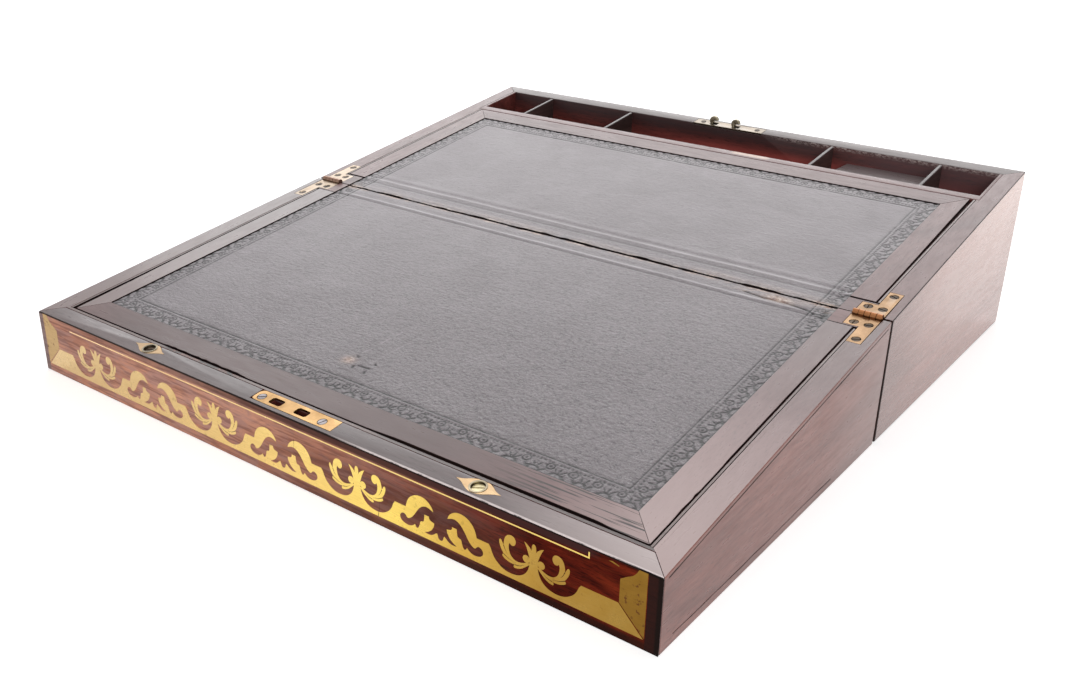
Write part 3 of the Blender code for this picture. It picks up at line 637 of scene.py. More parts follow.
def arris_painted_highlight(n):
    """A painted highlight runs along the front's rounded top edge, from its middle to near the right corner.
    """
    specks = n.grey(n.stretched(260, 500), (0.36, 0.25), (0.5, 1.0))
    n.tint((0.72, 0.62, 0.61), ("X", 0.03, 0.06), ("X", 0.215, 0.195), specks)


def tray_wear(n):
    """The tray rail's inner edge is worn pale in one place."""
    there = n.times(("X", 0.027, 0.031), ("X", 0.06, 0.056), ("Y", 0.179, 0.1798))
    n.tint((0.52, 0.36, 0.29), there)


# Dark, middle and light tones of each timber

# The rims' greyish pink tones partly paint the sheen on their polished tops, the rear rim's most of all
RIM_TONES = (0.12, 0.066, 0.064), (0.178, 0.096, 0.093), (0.225, 0.13, 0.125)
GREY_TONES = (0.08, 0.055, 0.055), (0.128, 0.092, 0.092), (0.175, 0.13, 0.128)
REAR_TONES = (0.13, 0.105, 0.102), (0.18, 0.15, 0.147), (0.24, 0.205, 0.2)
BASE_TONES = (0.115, 0.073, 0.072), (0.165, 0.104, 0.102), (0.21, 0.138, 0.135)
DULL_TONES = (0.112, 0.062, 0.06), (0.164, 0.092, 0.089), (0.205, 0.122, 0.117)
COVER_TONES = (0.105, 0.08, 0.08), (0.15, 0.12, 0.12), (0.2, 0.165, 0.165)
SHADE_TONES = (0.02, 0.011, 0.01), (0.042, 0.022, 0.02), (0.07, 0.036, 0.032)
END_TONES = (0.016, 0.007, 0.006), (0.038, 0.017, 0.014), (0.06, 0.028, 0.023)
EDGE_TONES = (0.06, 0.045, 0.045), (0.095, 0.075, 0.075), (0.13, 0.105, 0.105)
ROSE_TONES = (0.036, 0.0035, 0.0018), (0.12, 0.011, 0.0045), (0.21, 0.024, 0.009)
SIDE_TONES = (0.095, 0.03, 0.022), (0.175, 0.058, 0.044), (0.25, 0.088, 0.066)
# Paler tones for the base's sides, partly painted glare
SIDE_GLARE_TONES = (0.13, 0.044, 0.036), (0.21, 0.075, 0.063), (0.28, 0.11, 0.094)
RED_TONES = (0.055, 0.011, 0.009), (0.13, 0.028, 0.023), (0.19, 0.05, 0.041)
PALE_TONES = (0.13, 0.09, 0.085), (0.18, 0.13, 0.122), (0.22, 0.165, 0.155)
DARK_TONES = (0.008, 0.005, 0.005), (0.02, 0.011, 0.01), (0.04, 0.022, 0.019)
SOFT = {"streaks": 0.3, "pores": 0.35}

FRONT = wood("rosewood_front", "x", ROSE_TONES, rough=0.36, specular=0.02, haze=front_fade_and_glare)
EDGING = wood("front_edging_wood", "x", DARK_TONES, specular=0.03, haze=edging_fade)
# Dark rounded edges of the base and the rear wall; at the fold they also paint the shade in the joint
ARRIS = wood("dark_arris", "y", DARK_TONES, coat=0.1, specular=0.2)
# The front's top edge carries a painted highlight
ARRIS_FRONT = wood("arris_painted_highlight", "x", DARK_TONES, coat=0.1, specular=0.2, haze=arris_painted_highlight)
ROSE_X = wood("rosewood_across", "x", SIDE_TONES, coat=0.2)
RIM_X = {
    half: wood(f"{half}_rim_across", "x", tones, specular=0.3, **SOFT)
    for half, tones in (("lid", RIM_TONES), ("base", BASE_TONES))
}
REAR_RIM = wood("rear_rim_across", "x", REAR_TONES, specular=0.4, **SOFT, haze=chipped_rim)
END_RIM = wood("end_rim_across", "x", GREY_TONES, specular=0.4, **SOFT, haze=rim_corner)
RIM_Y = {
    "lid": wood("lid_rim_along", "y", RIM_TONES, coat=0.2, **SOFT, haze=lid_rim_painted_sheen),
    "base": wood("base_rim_along", "y", DULL_TONES, specular=0.4, **SOFT),
}
DIVIDER_TOP = wood("divider_edge_along", "y", EDGE_TONES, specular=0.3, **SOFT)
# The cover's top is painted paler than the tray's other faces, for the light that falls on it from above
COVER_TOP = wood("tray_cover_top", "x", COVER_TONES, specular=0.3, **SOFT)
# Dark timber on the sides' ends at the fold, darkened to paint the shade in the joint as well
FOLD_END = wood("dark_end_timber", "z", END_TONES, rough=0.4, specular=0.2)
INSIDE_SHADE = wood("mahogany_shaded", "y", SHADE_TONES, rough=0.42, specular=0.3)
INSIDE_REAR = wood("tray_rear_face", "x", RED_TONES, rough=0.42, specular=0.3, haze=tray_shade)
RIM_SPLIT = wood("rosewood_rim_split", "x", RIM_TONES, specular=0.4, **SOFT, haze=split_grain)
SIDE = wood("rosewood_side", "y", SIDE_TONES, coat=0.15, specular=0.45, **SOFT, haze=lid_side_painted_sheen)
SIDE_BASE = wood(
    "rosewood_side_painted_glare", "y", SIDE_GLARE_TONES, rough=0.24, coat=0.3, bloom=0.18, **SOFT, haze=base_side_painted_glare
)
# Dark joint and crack lines, and painted shade on faces that sit in gaps and joints
DARK_LINE_AND_SHADE = wood("dark_recess", "x", DARK_TONES, rough=0.6, specular=0.1)
INSIDE_X = wood("mahogany_across", "x", RED_TONES, rough=0.42, specular=0.4)
INSIDE_Y = wood("mahogany_along", "y", RED_TONES, rough=0.42, specular=0.4)
TRAY_TOP = wood("tray_edge_across", "x", RIM_TONES, specular=0.25, **SOFT, haze=tray_wear)
PALE_X = wood("pale_stringing_across", "x", PALE_TONES, **SOFT, haze=broken_string)
PALE_Y = wood("pale_stringing_along", "y", PALE_TONES, **SOFT)

LEATHER_MARKS = ("press", "wear", "rubbed")


def leather_material():
    """Old black leather: wrinkled grain, rub marks, dark tooling and brown wear, with painted sheen, glints,
    highlights and shade.
    """
    n = Nodes("leather")
    here = n.coords()
    press, wear, rubbed = [n.add("Attribute", attribute_name=word).outputs["Fac"] for word in LEATHER_MARKS]
    patch = n.noise(here, 30, 4, 0.6, 0.6)
    rub = n.stretched(330, 620, 4, 0.7, turn=0.5)
    wrinkle = n.stretched(380, 640, 3, 0.65, 0.9, turn=0.6)
    ripple = n.stretched(80, 190, 4, 0.6, 1.2, turn=0.35)
    cells = n.add("TexVoronoi", {"Vector": here, "Scale": 520.0}, feature="F1").outputs["Distance"]
    fine = n.noise(here, 1200, 3, 0.65)
    crisp = n.plus(0.22, ("Y", 0.06, -0.12), n.plus(0.3, ("X", -0.15, 0.1), 0.7), 0.78)
    # Painted sheen: a grey well above black, paler towards the rear, and paler to the left with a violet
    # cast of the leather's own
    back = n.math("ADD", n.times(patch, 0.5), n.share("Y", -0.4, 0.6))
    n.tone = n.ramp(back, (0.4, (0.136, 0.115, 0.124)), (1.0, (0.192, 0.165, 0.178)))
    n.tint((0.205, 0.178, 0.195), ("X", 0.0, -0.2), 0.4)
    # Towards the front right the grain is painted with more contrast, its pale flecks partly painted glints
    # and partly rub marks
    n.tint((0.042, 0.035, 0.04), crisp, n.grey(wrinkle, (0.36, 0.8), (0.5, 0.0)))
    n.tint((0.27, 0.245, 0.255), crisp, n.grey(rub, (0.52, 0.0), (0.74, 0.5)))
    n.tint((0.33, 0.305, 0.315), crisp, n.grey(fine, (0.56, 0.0), (0.7, 0.6)))
    # Painted highlights on the fold's ridges, and the pale outline of an old mark
    n.tint((0.33, 0.3, 0.315), rubbed, n.grey(patch, (0.35, 0.4), (0.6, 1.0)))
    # Dark tooling and cracks, with painted shade along the leather's edges and in the crease
    n.tint((0.008, 0.007, 0.0075), n.grey(press, (0.1, 0.0), (0.75, 0.97)))
    torn = n.ramp(rub, (0.3, (0.11, 0.06, 0.045)), (0.46, (0.34, 0.225, 0.18)), (0.62, (0.6, 0.49, 0.42)))
    n.tint(torn, wear)
    grain = n.math("ADD", n.times(cells, 0.3), n.math("ADD", n.times(wrinkle, 0.45), n.times(fine, 0.16)))
    waves = n.times(ripple, 0.9, n.plus(0.3, crisp, 0.7))
    n.bump(n.math("ADD", n.times(grain, crisp), waves), 1.0 * MM, 0.8)
    return n.finish(n.grey(patch, (0.3, 0.46), (0.7, 0.4)), specular_ior_level=0.5)


def old_metal(name, bright, dull, rough=0.26, spots=0.0, run=None, haze=None):
    """Old brass or steel: brushed streaks, dull patches and a few brown spots."""
    n = Nodes(name)
    patch = n.noise(n.coords(), 70, 5, 0.62, 0.4)
    brush = n.stretched(180, 2400)
    n.tone = n.ramp(patch, (0.34, dull), (0.62, bright))
    if run:
        n.tint(n.ramp(n.share(*WHOLE_WIDTH), *run), 0.8)
    n.tint(tuple(c * 0.62 for c in dull), n.grey(brush, (0.35, 0.2), (0.65, 0.0)))
    if spots:
        pits = n.noise(n.coords(), 330, 3, 0.55)
        n.tint((0.1, 0.035, 0.012), n.grey(pits, (0.62, 0.0), (0.7, spots)))
    if haze:
        haze(n)
    n.bump(brush, 0.02 * MM, 0.35)
    return n.finish(n.grey(patch, (0.3, rough + 0.12), (0.7, rough - 0.03)), metallic=1.0)


def copper_barrel(n):
    """The left hinge is paler than the right one, and the knuckles are browner than their leaves."""
    left = n.share("X", 0.01, -0.01)
    n.tint((0.29, 0.235, 0.18), left, 0.8)
    barrel = n.mix(left, (0.3, 0.115, 0.045), (0.23, 0.125, 0.09))
    near = n.span(n.math("ABSOLUTE", n.axis("Y")), 2.6 * MM, 2.0 * MM)
    n.tint(barrel, near, 0.8)


# Colours of the front's brass along its length, from left to right
BAND_RUN = (
    (0.0, (0.56, 0.4, 0.24)), (0.3, (0.68, 0.49, 0.24)), (0.52, (0.9, 0.66, 0.23)),
    (0.66, (1.0, 0.77, 0.18)), (0.76, (0.62, 0.39, 0.065)), (0.87, (0.3, 0.155, 0.02)),
    (0.96, (0.22, 0.112, 0.014)),
)
LINE_RUN = ((0.0, (0.85, 0.55, 0.36)), (0.5, (0.9, 0.66, 0.3)), (1.0, (0.8, 0.6, 0.12)))
CORNER_RUN = ((0.0, (0.5, 0.33, 0.15)), (0.9, (0.215, 0.108, 0.013)))
BRASS = old_metal("inlay_brass", (0.88, 0.62, 0.18), (0.7, 0.45, 0.1), spots=0.2, run=BAND_RUN)
BRASS_LINE = old_metal("line_brass", (0.88, 0.62, 0.25), (0.7, 0.45, 0.15), run=LINE_RUN)
BRASS_OLD = old_metal(
    "corner_brass", (0.38, 0.23, 0.05), (0.24, 0.13, 0.025), rough=0.34, spots=0.9, run=CORNER_RUN
)
HINGE_BRASS = old_metal("hinge_brass", (0.28, 0.172, 0.092), (0.195, 0.116, 0.057), haze=copper_barrel)
PLATE_BRASS = old_metal("plate_brass", (0.41, 0.255, 0.112), (0.3, 0.175, 0.068))
SCREW = old_metal("screw_brass", (0.07, 0.046, 0.028), (0.028, 0.018, 0.012), rough=0.34)
STEEL = old_metal("lock_metal", (0.31, 0.265, 0.185), (0.125, 0.105, 0.073), rough=0.3)
BUTTON_METAL = old_metal("button_metal", (0.5, 0.44, 0.28), (0.36, 0.31, 0.19), rough=0.3)
CATCH_BRASS = old_metal("catch_brass", (0.42, 0.295, 0.17), (0.31, 0.205, 0.11))
LEATHER = leather_material()
SILVER = old_metal("plate_screw_steel", (0.27, 0.25, 0.26), (0.15, 0.135, 0.14), rough=0.24)
LOCK_BRASS = old_metal("lock_plate_brass", (0.235, 0.195, 0.15), (0.155, 0.125, 0.095))

# Timber

# Roundings of the timber, and the least length of an edge that is rounded on a long board
EDGE, RAIL_EDGE, LINING_EDGE = 0.45 * MM, 0.3 * MM, 0.2 * MM
LONG = 0.03
FOLD_SPREAD_FOOT, FOLD_SPREAD_TOP = 1.3 * MM, 0.8 * MM
BOARD_PLAY = 0.2 * MM
COVER_RAISE = 4 * MM
SURFACE_DEPTH, FOLD_REACH, WALL_PLAY = 0.7 * MM, 3 * MM, 0.04 * MM


def at_surface(face):
    """A face that lies in the writing surface."""
    height = (face.calc_center_median() - Vector((0, 0, FOLD_HEIGHT))).dot(SLOPE_UP)
    return looks_up(face) and height > -SURFACE_DEPTH


def in_front_string(face):
    return at_surface(face) and face.calc_center_median().y < -FRONT_LINING * SLOPE_COS


def at_fold(face):
    """The end of a side that faces the other half."""
    return abs(face.calc_center_median().y) < FOLD_REACH and abs(face.normal.y) > FACING


def meet_walls(bm):
    """Closes the hairline between a lining or rail and the side walls."""
    for v in bm.verts:
        if abs(v.co.x) > LINING_OUT - NEAR:
            v.co.x = math.copysign(WALL_IN - WALL_PLAY, v.co.x)


def part_front_strip(bm):
    """Meets the walls, and parts the strip along the front from the lining's arms."""
    meet_walls(bm)
    bm.normal_update()
    bmesh.ops.triangulate(bm, faces=[face for face in bm.faces if looks_up(face)])


def spread_fold(bm):
    """The joint between the two halves is slack and widens towards the floor."""
    for v in bm.verts:
        if abs(v.co.y) < MM:
            spread = FOLD_SPREAD_FOOT if v.co.z < FOLD_HEIGHT / 2 else FOLD_SPREAD_TOP
            v.co.y += math.copysign(spread, v.co.y)


def narrow_board(bm):
    """The leaf's board keeps inside its border."""
    for v in bm.verts:
        v.co.x *= (LEAF_X - BOARD_PLAY) / BOARD_X


def raise_cover(bm):
    """The loose cover board is thicker than it need be and stands a little higher in the tray."""
    top = max(v.co.z for v in bm.verts)
    for v in bm.verts:
        if v.co.z > top - NEAR:
            v.co.z += COVER_RAISE


for half in ("base", "lid"):
    side_skin, arris, inside = (SIDE_BASE, ARRIS, INSIDE_SHADE) if half == "base" else (SIDE, SIDE, INSIDE_Y)
    for word in SIDES:
        skins = [(RIM_Y[half], at_surface), (side_skin, looks_out), (FOLD_END, at_fold), (inside, anywhere)]
        dress(f"{half}_{word}_side", skins, "rosewood", EDGE, LONG, arris, spread_fold, at_wall_joint)
    # The rail's faces other than its top take the dark material, painted shade in the fold's joint
    skins = [(RIM_X[half], at_surface), (DARK_LINE_AND_SHADE, anywhere)]
    dress(f"{half}_fold_rail", skins, "rosewood", RAIL_EDGE, LONG, None, meet_walls, at_wall_joint)
    skins = [(PALE_X, in_front_string), (RIM_Y[half], at_surface), (INSIDE_Y, anywhere)]
    dress(f"{half}_lining", skins, "mahogany", LINING_EDGE, LONG, None, part_front_strip, at_wall_joint)
    # The board's faces other than its underside take the dark material, painted shade in the gaps round it
    skins = [(INSIDE_X, looks_down), (DARK_LINE_AND_SHADE, anywhere)]
    dress(f"{half}_leaf_board", skins, "mahogany", EDGE, LONG, reshape=narrow_board)
    for node in ("bottom", "fold_wall"):
        soften(f"{half}_{node}", INSIDE_X, "mahogany", EDGE, LONG)
skins = [(REAR_RIM, at_surface), (ROSE_X, looks_out), (INSIDE_REAR, anywhere)]
dress("base_rear_wall", skins, "rosewood", EDGE, LONG, ARRIS)
skins = [(END_RIM, at_surface), (EDGING, looks_out), (INSIDE_X, anywhere)]
dress("lid_front_wall", skins, "rosewood", EDGE, LONG, ARRIS_FRONT)
skins = [(TRAY_TOP, looks_up), (INSIDE_X, anywhere)]
dress("tray_front_rail", skins, "mahogany", EDGE, LONG, reshape=meet_walls)
for i in range(1, 5):
    dress(f"tray_divider_{i}", [(DIVIDER_TOP, looks_up), (INSIDE_SHADE, anywhere)], "mahogany", EDGE)
soften("tray_floor", INSIDE_X, "mahogany", RAIL_EDGE)
dress("tray_cover", [(COVER_TOP, looks_up), (INSIDE_X, anywhere)], "mahogany", EDGE, reshape=raise_cover)

# Dark joint and crack lines on the sides of the lid

LINE_PROUD, LINE_SUNK, LINE_STEP = 0.05 * MM, 0.2 * MM, 4 * MM
JOINT_RUN, JOINT_DROP, JOINT_WIDTH = (-0.233, -0.002), 2.3 * MM, 0.6 * MM
CRACK_RUN, CRACK_HEIGHT, CRACK_WIDTH = (-0.226, -0.06), 4.8 * MM, 0.45 * MM


def side_line(name, side, ys, heights, widths):
    """A thin dark strip along a side of the lid."""
    bm = bmesh.new()
    corners = [(LINE_PROUD, 1), (LINE_PROUD, -1), (-LINE_SUNK, -1), (-LINE_SUNK, 1)]
    rows = [
        [bm.verts.new((side * (HALF_WIDTH + out), y, z + wide / 2 * up)) for out, up in corners]
        for y, z, wide in zip(ys, heights, widths)
    ]
    for one, two in zip(rows, rows[1:]):
        for i in range(4):
            bm.faces.new((one[i], one[i - 1], two[i - 1], two[i]))
    for end in (rows[0], rows[-1]):
        bm.faces.new(end)
    place(name, to_mesh(bm), DARK_LINE_AND_SHADE, "lid", "rosewood")


for word, side in SIDES.items():
    ys = np.arange(*JOINT_RUN, LINE_STEP)
    joint = FOLD_HEIGHT + ys * SLOPE_TAN - JOINT_DROP
    side_line(f"lid_joint_line_{word}", side, ys, joint, JOINT_WIDTH * (1 + 0.4 * wander(ys, 71 + side, 60)))
    ys = np.arange(*CRACK_RUN, LINE_STEP)
    crack = CRACK_HEIGHT + 0.6 * MM * wander(ys, 75 + side, 40)
    side_line(f"lid_foot_crack_{word}", side, ys, crack, CRACK_WIDTH * (1 + 0.6 * wander(ys, 77 + side, 70)))

# Mitred borders of the leaves, each strip with its own grain and worn outer edge

MITRE_GAP, BORDER_EDGE = 0.05 * MM, 0.22 * MM
WEAR_STEP = 3.0
# Nicks in the lid leaf's right edge, as places along it, depths and widths in millimetres
NICKS = ((95, 1.0, 0.7), (155, 0.9, 0.9), (186, 1.5, 0.5), (198, 5.0, 0.35), (215, 1.0, 0.5))


def worn_edge(half, side, t):
    """How far a leaf's outer edge is worn back, in millimetres, at places along it in millimetres."""
    t = np.asarray(t, dtype=float)
    if (half, side) == ("lid", "right"):
        return bells(t, NICKS) + 0.35 * ease(t, 170, 150)
    if (half, side) == ("lid", "left"):
        return 0.3 + 1.7 * ease(t, 120, 224) + 0.5 * np.abs(wander(t, 61, 0.35)) * ease(t, 105, 150)
    if (half, side) == ("base", "right"):
        return 0.3 + 1.3 * ease(t, 20, 178)
    if (half, side) == ("lid", "end"):
        lost = (0.5 + 1.2 * np.abs(wander(t, 63, 0.8))) * ease(t, -122, -112) * ease(t, -46, -54)
        return 1.1 * ease(t, 40, 70) * ease(t, 192, 182) + 0.25 + lost
    return np.zeros_like(t)


def leaf_border(half):
    """The three strips round a leaf, from outlines in millimetres across and away from the fold."""
    sign = HALF_OF[half]
    start, end = LEAF_STARTS[half] / MM, LEAF_ENDS[half] / MM
    x_out, x_in = LEAF_X / MM, (LEAF_X - BORDER_X) / MM
    inner, gap = end - BORDER_END / MM, MITRE_GAP / MM
    corners, long_strips = {}, {}
    for word, side in SIDES.items():
        places = np.arange(start, end - WEAR_STEP, WEAR_STEP)
        run = [(side * (x_out - back), t) for t, back in zip(places, worn_edge(half, word, places))]
        x = side * (x_out - float(worn_edge(half, word, end)))
        t = end - float(worn_edge(half, "end", side * x_out))
        corners[word] = (x - side * gap, t)
        long_strips[word] = [(side * x_in, start), *run, (x, t - gap), (side * x_in, inner - gap)]
    across = np.arange(-x_out + WEAR_STEP, x_out - WEAR_STEP, WEAR_STEP)
    far = [(x, end - back) for x, back in zip(across, worn_edge(half, "end", across))]
    end_strip = [corners["left"], *far, corners["right"], (x_in - gap, inner), (-x_in + gap, inner)]
    for word, outline in {"end": end_strip, **long_strips}.items():
        rings = [[on_slope(x * MM, sign * t * MM, n) for x, t in outline] for n in (-VENEER, 0)]
        material = RIM_Y[half] if word != "end" else RIM_SPLIT if half == "lid" else RIM_X[half]
        gone = (f"{half}_leaf_frame",) if word == "end" else ()
        # The strips' sides take the dark material, painted shade in the gaps round the leaf
        strip = prism(rings, BORDER_EDGE)
        place(f"{half}_leaf_border_{word}", strip, [material, DARK_LINE_AND_SHADE], f"{half}_leaf", "rosewood", gone)


leaf_border("lid")
leaf_border("base")

# Pale strings along the linings, with a dark groove behind them, painted as shade on the strings' sides

# Across and above the slope, in millimetres
STRING_PROFILE = ((211.4, -1.4), (209.8, -1.4), (209.8, -0.15), (211.0, -0.15), (211.0, -0.8), (211.4, -0.8))
STRING_START, STRING_EDGE = 0.0168, 0.08 * MM
STRING_ENDS = {"lid": FRONT_LINING - 0.2 * MM, "base": LEAF_ENDS["base"] + 0.3 * MM}
for half, sign in HALF_OF.items():
    for word, side in SIDES.items():
        ends = (STRING_START * sign, STRING_ENDS[half] * sign)
        rings = [[on_slope(side * x * MM, s, n * MM) for x, n in STRING_PROFILE] for s in ends]
        place(f"{half}_rim_string_{word}", prism(rings, STRING_EDGE), [PALE_Y, DARK_LINE_AND_SHADE], half, "rosewood")

# Metal

# Outlines on the slope in millimetres across and up from the fold; a third value marks a sharp corner
CATCH_AT = (122.2, -232.6)
CATCH_OUTLINE = [
    (0, -5), (3, -4.6), (6, -3.2), (9.5, -1.2), (13.3, 0, 1), (9.5, 1.2), (6.2, 3.2), (3.6, 4.35, 1),
]
COLLAR_OUT, COLLAR_IN = 4.6, 3.6
BUTTON_R, BUTTON_PLAY, BUTTON_DROP, BUTTON_TURN = 3.25, 0.45, 0.16, 0.5
BUTTON_LEVELS = (-0.7 * MM, -1.0 * MM, -6.0 * MM)
STRIKE_OUTLINE = [
    (-29.6, -233.5), (-29.2, -236.2), (-26.5, -237), (-20, -237.1, 1), (30, -237.1, 1), (30, -228.2, 1),
    (-27, -228.2), (-29.3, -230),
]
STRIKE_HOLES, STRIKE_HOLE_RUN, STRIKE_HOLE_CUT = ((-18.4, -9.4), (0.6, 9.7)), (-235.4, -230.2), 1.0
STRIKE_SCREWS = ((-25.0, -233.2, 0.6), (20.5, -233.2, 1.2))
LOCK_SCREWS = ((-23.4, 233.0, 0.3), (24.0, 233.0, 1.0))
STRIKE_SCREW, LOCK_SCREW, SCREW_PLAY = 2.4, 2.0, 0.35
SLOT_DEPTH, SCREW_FOOT = 0.32 * MM, -0.9 * MM
HINGE_EDGE, PLATE_EDGE, SCREW_EDGE, CASE_EDGE = 0.18 * MM, 0.15 * MM, 0.08 * MM, 0.2 * MM

for word, side in SIDES.items():
    for half in ("base", "lid"):
        soften(f"hinge_{word}_{half}_leaf", HINGE_BRASS, "brass", HINGE_EDGE)
        for spot in ("foot", "rim", "arm"):
            soften(f"hinge_{word}_{half}_{spot}_screw", SCREW, "screw_brass", SCREW_EDGE)
    soften(f"hinge_{word}_pin", HINGE_BRASS, "brass", PLATE_EDGE)
    x, s = side * CATCH_AT[0], CATCH_AT[1]
    eye = smooth_loop(shift(both_sides(CATCH_OUTLINE), x, s))
    plate = pierced_plate(eye, [circle(x, s, BUTTON_R + BUTTON_PLAY)], 0.1 * MM, -1.0 * MM)
    node = f"catch_plate_{word}"
    place(f"{node}_dressed", plate, CATCH_BRASS, "lid", "brass", (node,))
    s -= BUTTON_DROP
    collar = pierced_plate(circle(x, s, COLLAR_OUT), [circle(x, s, COLLAR_IN)], 0.35 * MM, -0.9 * MM)
    place(f"catch_collar_{word}", collar, STEEL, "lid", "brass")
    button = slotted_head(x, s, BUTTON_R, BUTTON_TURN, BUTTON_LEVELS)
    # The left button takes the dark screw metal, painted shade for a button set deep in its hole
    metal = BUTTON_METAL if word == "right" else SCREW
    node = f"catch_button_{word}"
    place(f"{node}_dressed", button, metal, node, "brass", (node,))

holes = [cut_rectangle(*ends, *STRIKE_HOLE_RUN, STRIKE_HOLE_CUT) for ends in STRIKE_HOLES]
holes += [circle(x, s, STRIKE_SCREW + SCREW_PLAY) for x, s, _ in STRIKE_SCREWS]
strike = pierced_plate(smooth_loop(STRIKE_OUTLINE), holes, 0.02 * MM, -1.2 * MM)
place("strike_plate_dressed", strike, PLATE_BRASS, "lid", "brass", ("strike_plate",))
soften("lock_plate", LOCK_BRASS, "brass", PLATE_EDGE)
for plate, body, metal, radius, top, spots in (
    ("strike", "lid", SILVER, STRIKE_SCREW, 0.0, STRIKE_SCREWS),
    ("lock", "base", SCREW, LOCK_SCREW, 0.22 * MM, LOCK_SCREWS),
):
    for word, (x, s, turn) in zip(SIDES, spots):
        head = slotted_head(x, s, radius, turn, (top, top - SLOT_DEPTH, SCREW_FOOT))
        place(f"{plate}_plate_screw_{word}", head, metal, body, "screw_brass")
soften("lock_bolt", STEEL, "lock_metal", EDGE)
soften("lock_case", STEEL, "lock_metal", CASE_EDGE)
soften("keyhole_escutcheon", HINGE_BRASS, "brass", PLATE_EDGE)

# Brass inlay

# Outlines of the right-hand halves of the two motifs, in millimetres from the motif's centre and the floor
DIP = [
    (2.3, 16.4, 1), (3.1, 13.6), (4.4, 11.3), (6.3, 9.5), (8.6, 8.3), (11.5, 7.7), (14.5, 7.7), (17.5, 8.5),
    (20, 10), (22, 11.8), (23.5, 14.2), (24.4, 16.4), (25.3, 17.7, 1), (25.6, 19.5, 1), (2.3, 19.5, 1),
]
CROWN = [
    (0, 15, 1), (2.35, 15.8, 1), (2.25, 18), (2.3, 19.8), (2.9, 22), (3.7, 24.2), (4.5, 26), (5.4, 27.6, 1),
    (4.3, 27.2), (3, 26.3), (1.9, 25.3), (1.35, 24.3, 1), (1.25, 25.6), (1.1, 27), (0.6, 28), (0, 28.3, 1),
]
SCROLL = [
    (2, 17.3, 1), (3.6, 17.2), (5.4, 16.3), (7.6, 15.6), (9.8, 15.5), (11.8, 16.4), (13.2, 18),
    (13.9, 20.2), (14, 22.2), (13.6, 23.5, 1), (12.6, 22.7), (11.5, 22.7), (10.5, 23.6), (10.1, 25),
    (10.5, 26.5), (11.6, 27.5), (13.2, 27.7), (14.8, 27.1), (16, 25.7), (16.6, 24), (16.9, 22.2),
    (16.9, 20.9, 1), (17.6, 22.2), (18.5, 23.5), (19.3, 23.2), (19.4, 21.8), (18.9, 20), (18, 18.2),
    (16.7, 16.4, 1), (17.4, 16.1), (17.5, 15.2), (16.3, 14.3), (14.6, 13.6), (12.4, 13.2), (10.3, 13.2, 1),
    (11, 12.6), (10.9, 11.7), (9.8, 11.6), (8, 12.1), (6.2, 13.1), (4.4, 14.6), (2.4, 16.4, 1),
]
VEINS = [
    [(16.9, 21.0), (16.1, 19.1), (14.6, 17.0)], [(16.8, 16.4), (14.0, 15.0), (10.6, 14.4)],
    [(10.2, 13.2), (7.6, 13.8), (5.2, 15.2)],
]
CREST = [
    (22, 18, 1), (21.6, 19.6), (20.8, 21.8), (19.5, 23.8), (17.7, 25.4), (15.4, 26.6), (12.8, 27.1),
    (10.2, 26.9), (8, 26), (6.2, 24.6), (4.95, 22.9), (4.4, 21.5, 1), (9.5, 21, 1), (12.5, 18, 1),
    (16, 13, 1),
]
HOLLOW = [
    (4.4, 21.5, 1), (5.5, 21.9), (7.1, 22.5), (9, 22.7), (11.1, 22), (12.8, 20.7), (14.3, 18.9), (15.6, 17),
    (16.9, 15), (18.4, 13.3), (20.4, 12.05), (21.4, 12.3), (22.1, 13.2), (23.4, 13.8), (24.9, 13.2),
    (25.8, 11.9), (25.6, 10.3), (24.2, 8.9), (22, 8.2), (19.7, 8.2), (17.8, 9), (16.2, 10.35, 1),
    (15.5, 9.2), (14.6, 8.8), (13.8, 9.7), (13.1, 11.5), (12.6, 13.2), (11.5, 13.6), (10.6, 14.1),
    (10.2, 15.8), (10, 17.8), (9.5, 19.2), (8.4, 19.9), (6.9, 19.7, 1), (6.9, 18.6), (7.2, 17.4),
    (6.6, 16.3), (5.3, 15.8), (3.9, 15.45, 1), (4.1, 14), (4.9, 12.3), (6.1, 10.7), (7.9, 9.4),
    (10.1, 8.35, 1), (8, 8.15), (6, 8.3), (4.4, 9.2), (3.2, 10.2), (2.3, 10.75, 1), (1.85, 9.9), (1.4, 8.5),
    (0.7, 7.8), (0, 7.65),
]
BUD = (4.1, 19.0, 2.0)
VEIN_WIDTH, SLIT_WIDTH = 0.42, 0.35
INLAY_CENTRE, INLAY_STEP = -4.0, 54.6

# Outlines of the rest of the front, in millimetres from the middle and the floor
WIDTH_MM, FRONT_MM = HALF_WIDTH / MM, 38.55
CORNER = [
    (204.6, 18.3, 1), (217.7, 5.5, 1), (217.7, 38.3, 1), (213.4, 38.3, 1), (212.3, 36.2), (210.6, 34.2),
    (208, 32.6), (204.6, 30.2, 1),
]
CORNER_MIDDLE = -1.5
BAND = [(-220.3, 5.1), (217.3, 5.1), (204.2, 18.0), (-207.2, 18.0)]
TOP_LINE, TICK = rectangle(-193.0, 189.0, 33.3, 34.05), rectangle(188.3, 189.0, 33.9, 36.6)
EDGES = [(-WIDTH_MM, -221.0), (218.0, WIDTH_MM)]
CHIP = [(198.4, 36.7), (203.6, 35.7), (203.8, 36.2), (200.4, 37.1)]
SLITS = [[(64.4, 5.0), (65.2, 9.0), (65.6, 13.0)], [(5.6, 27.6), (5.4, 24.5), (5.2, 21.5)]]


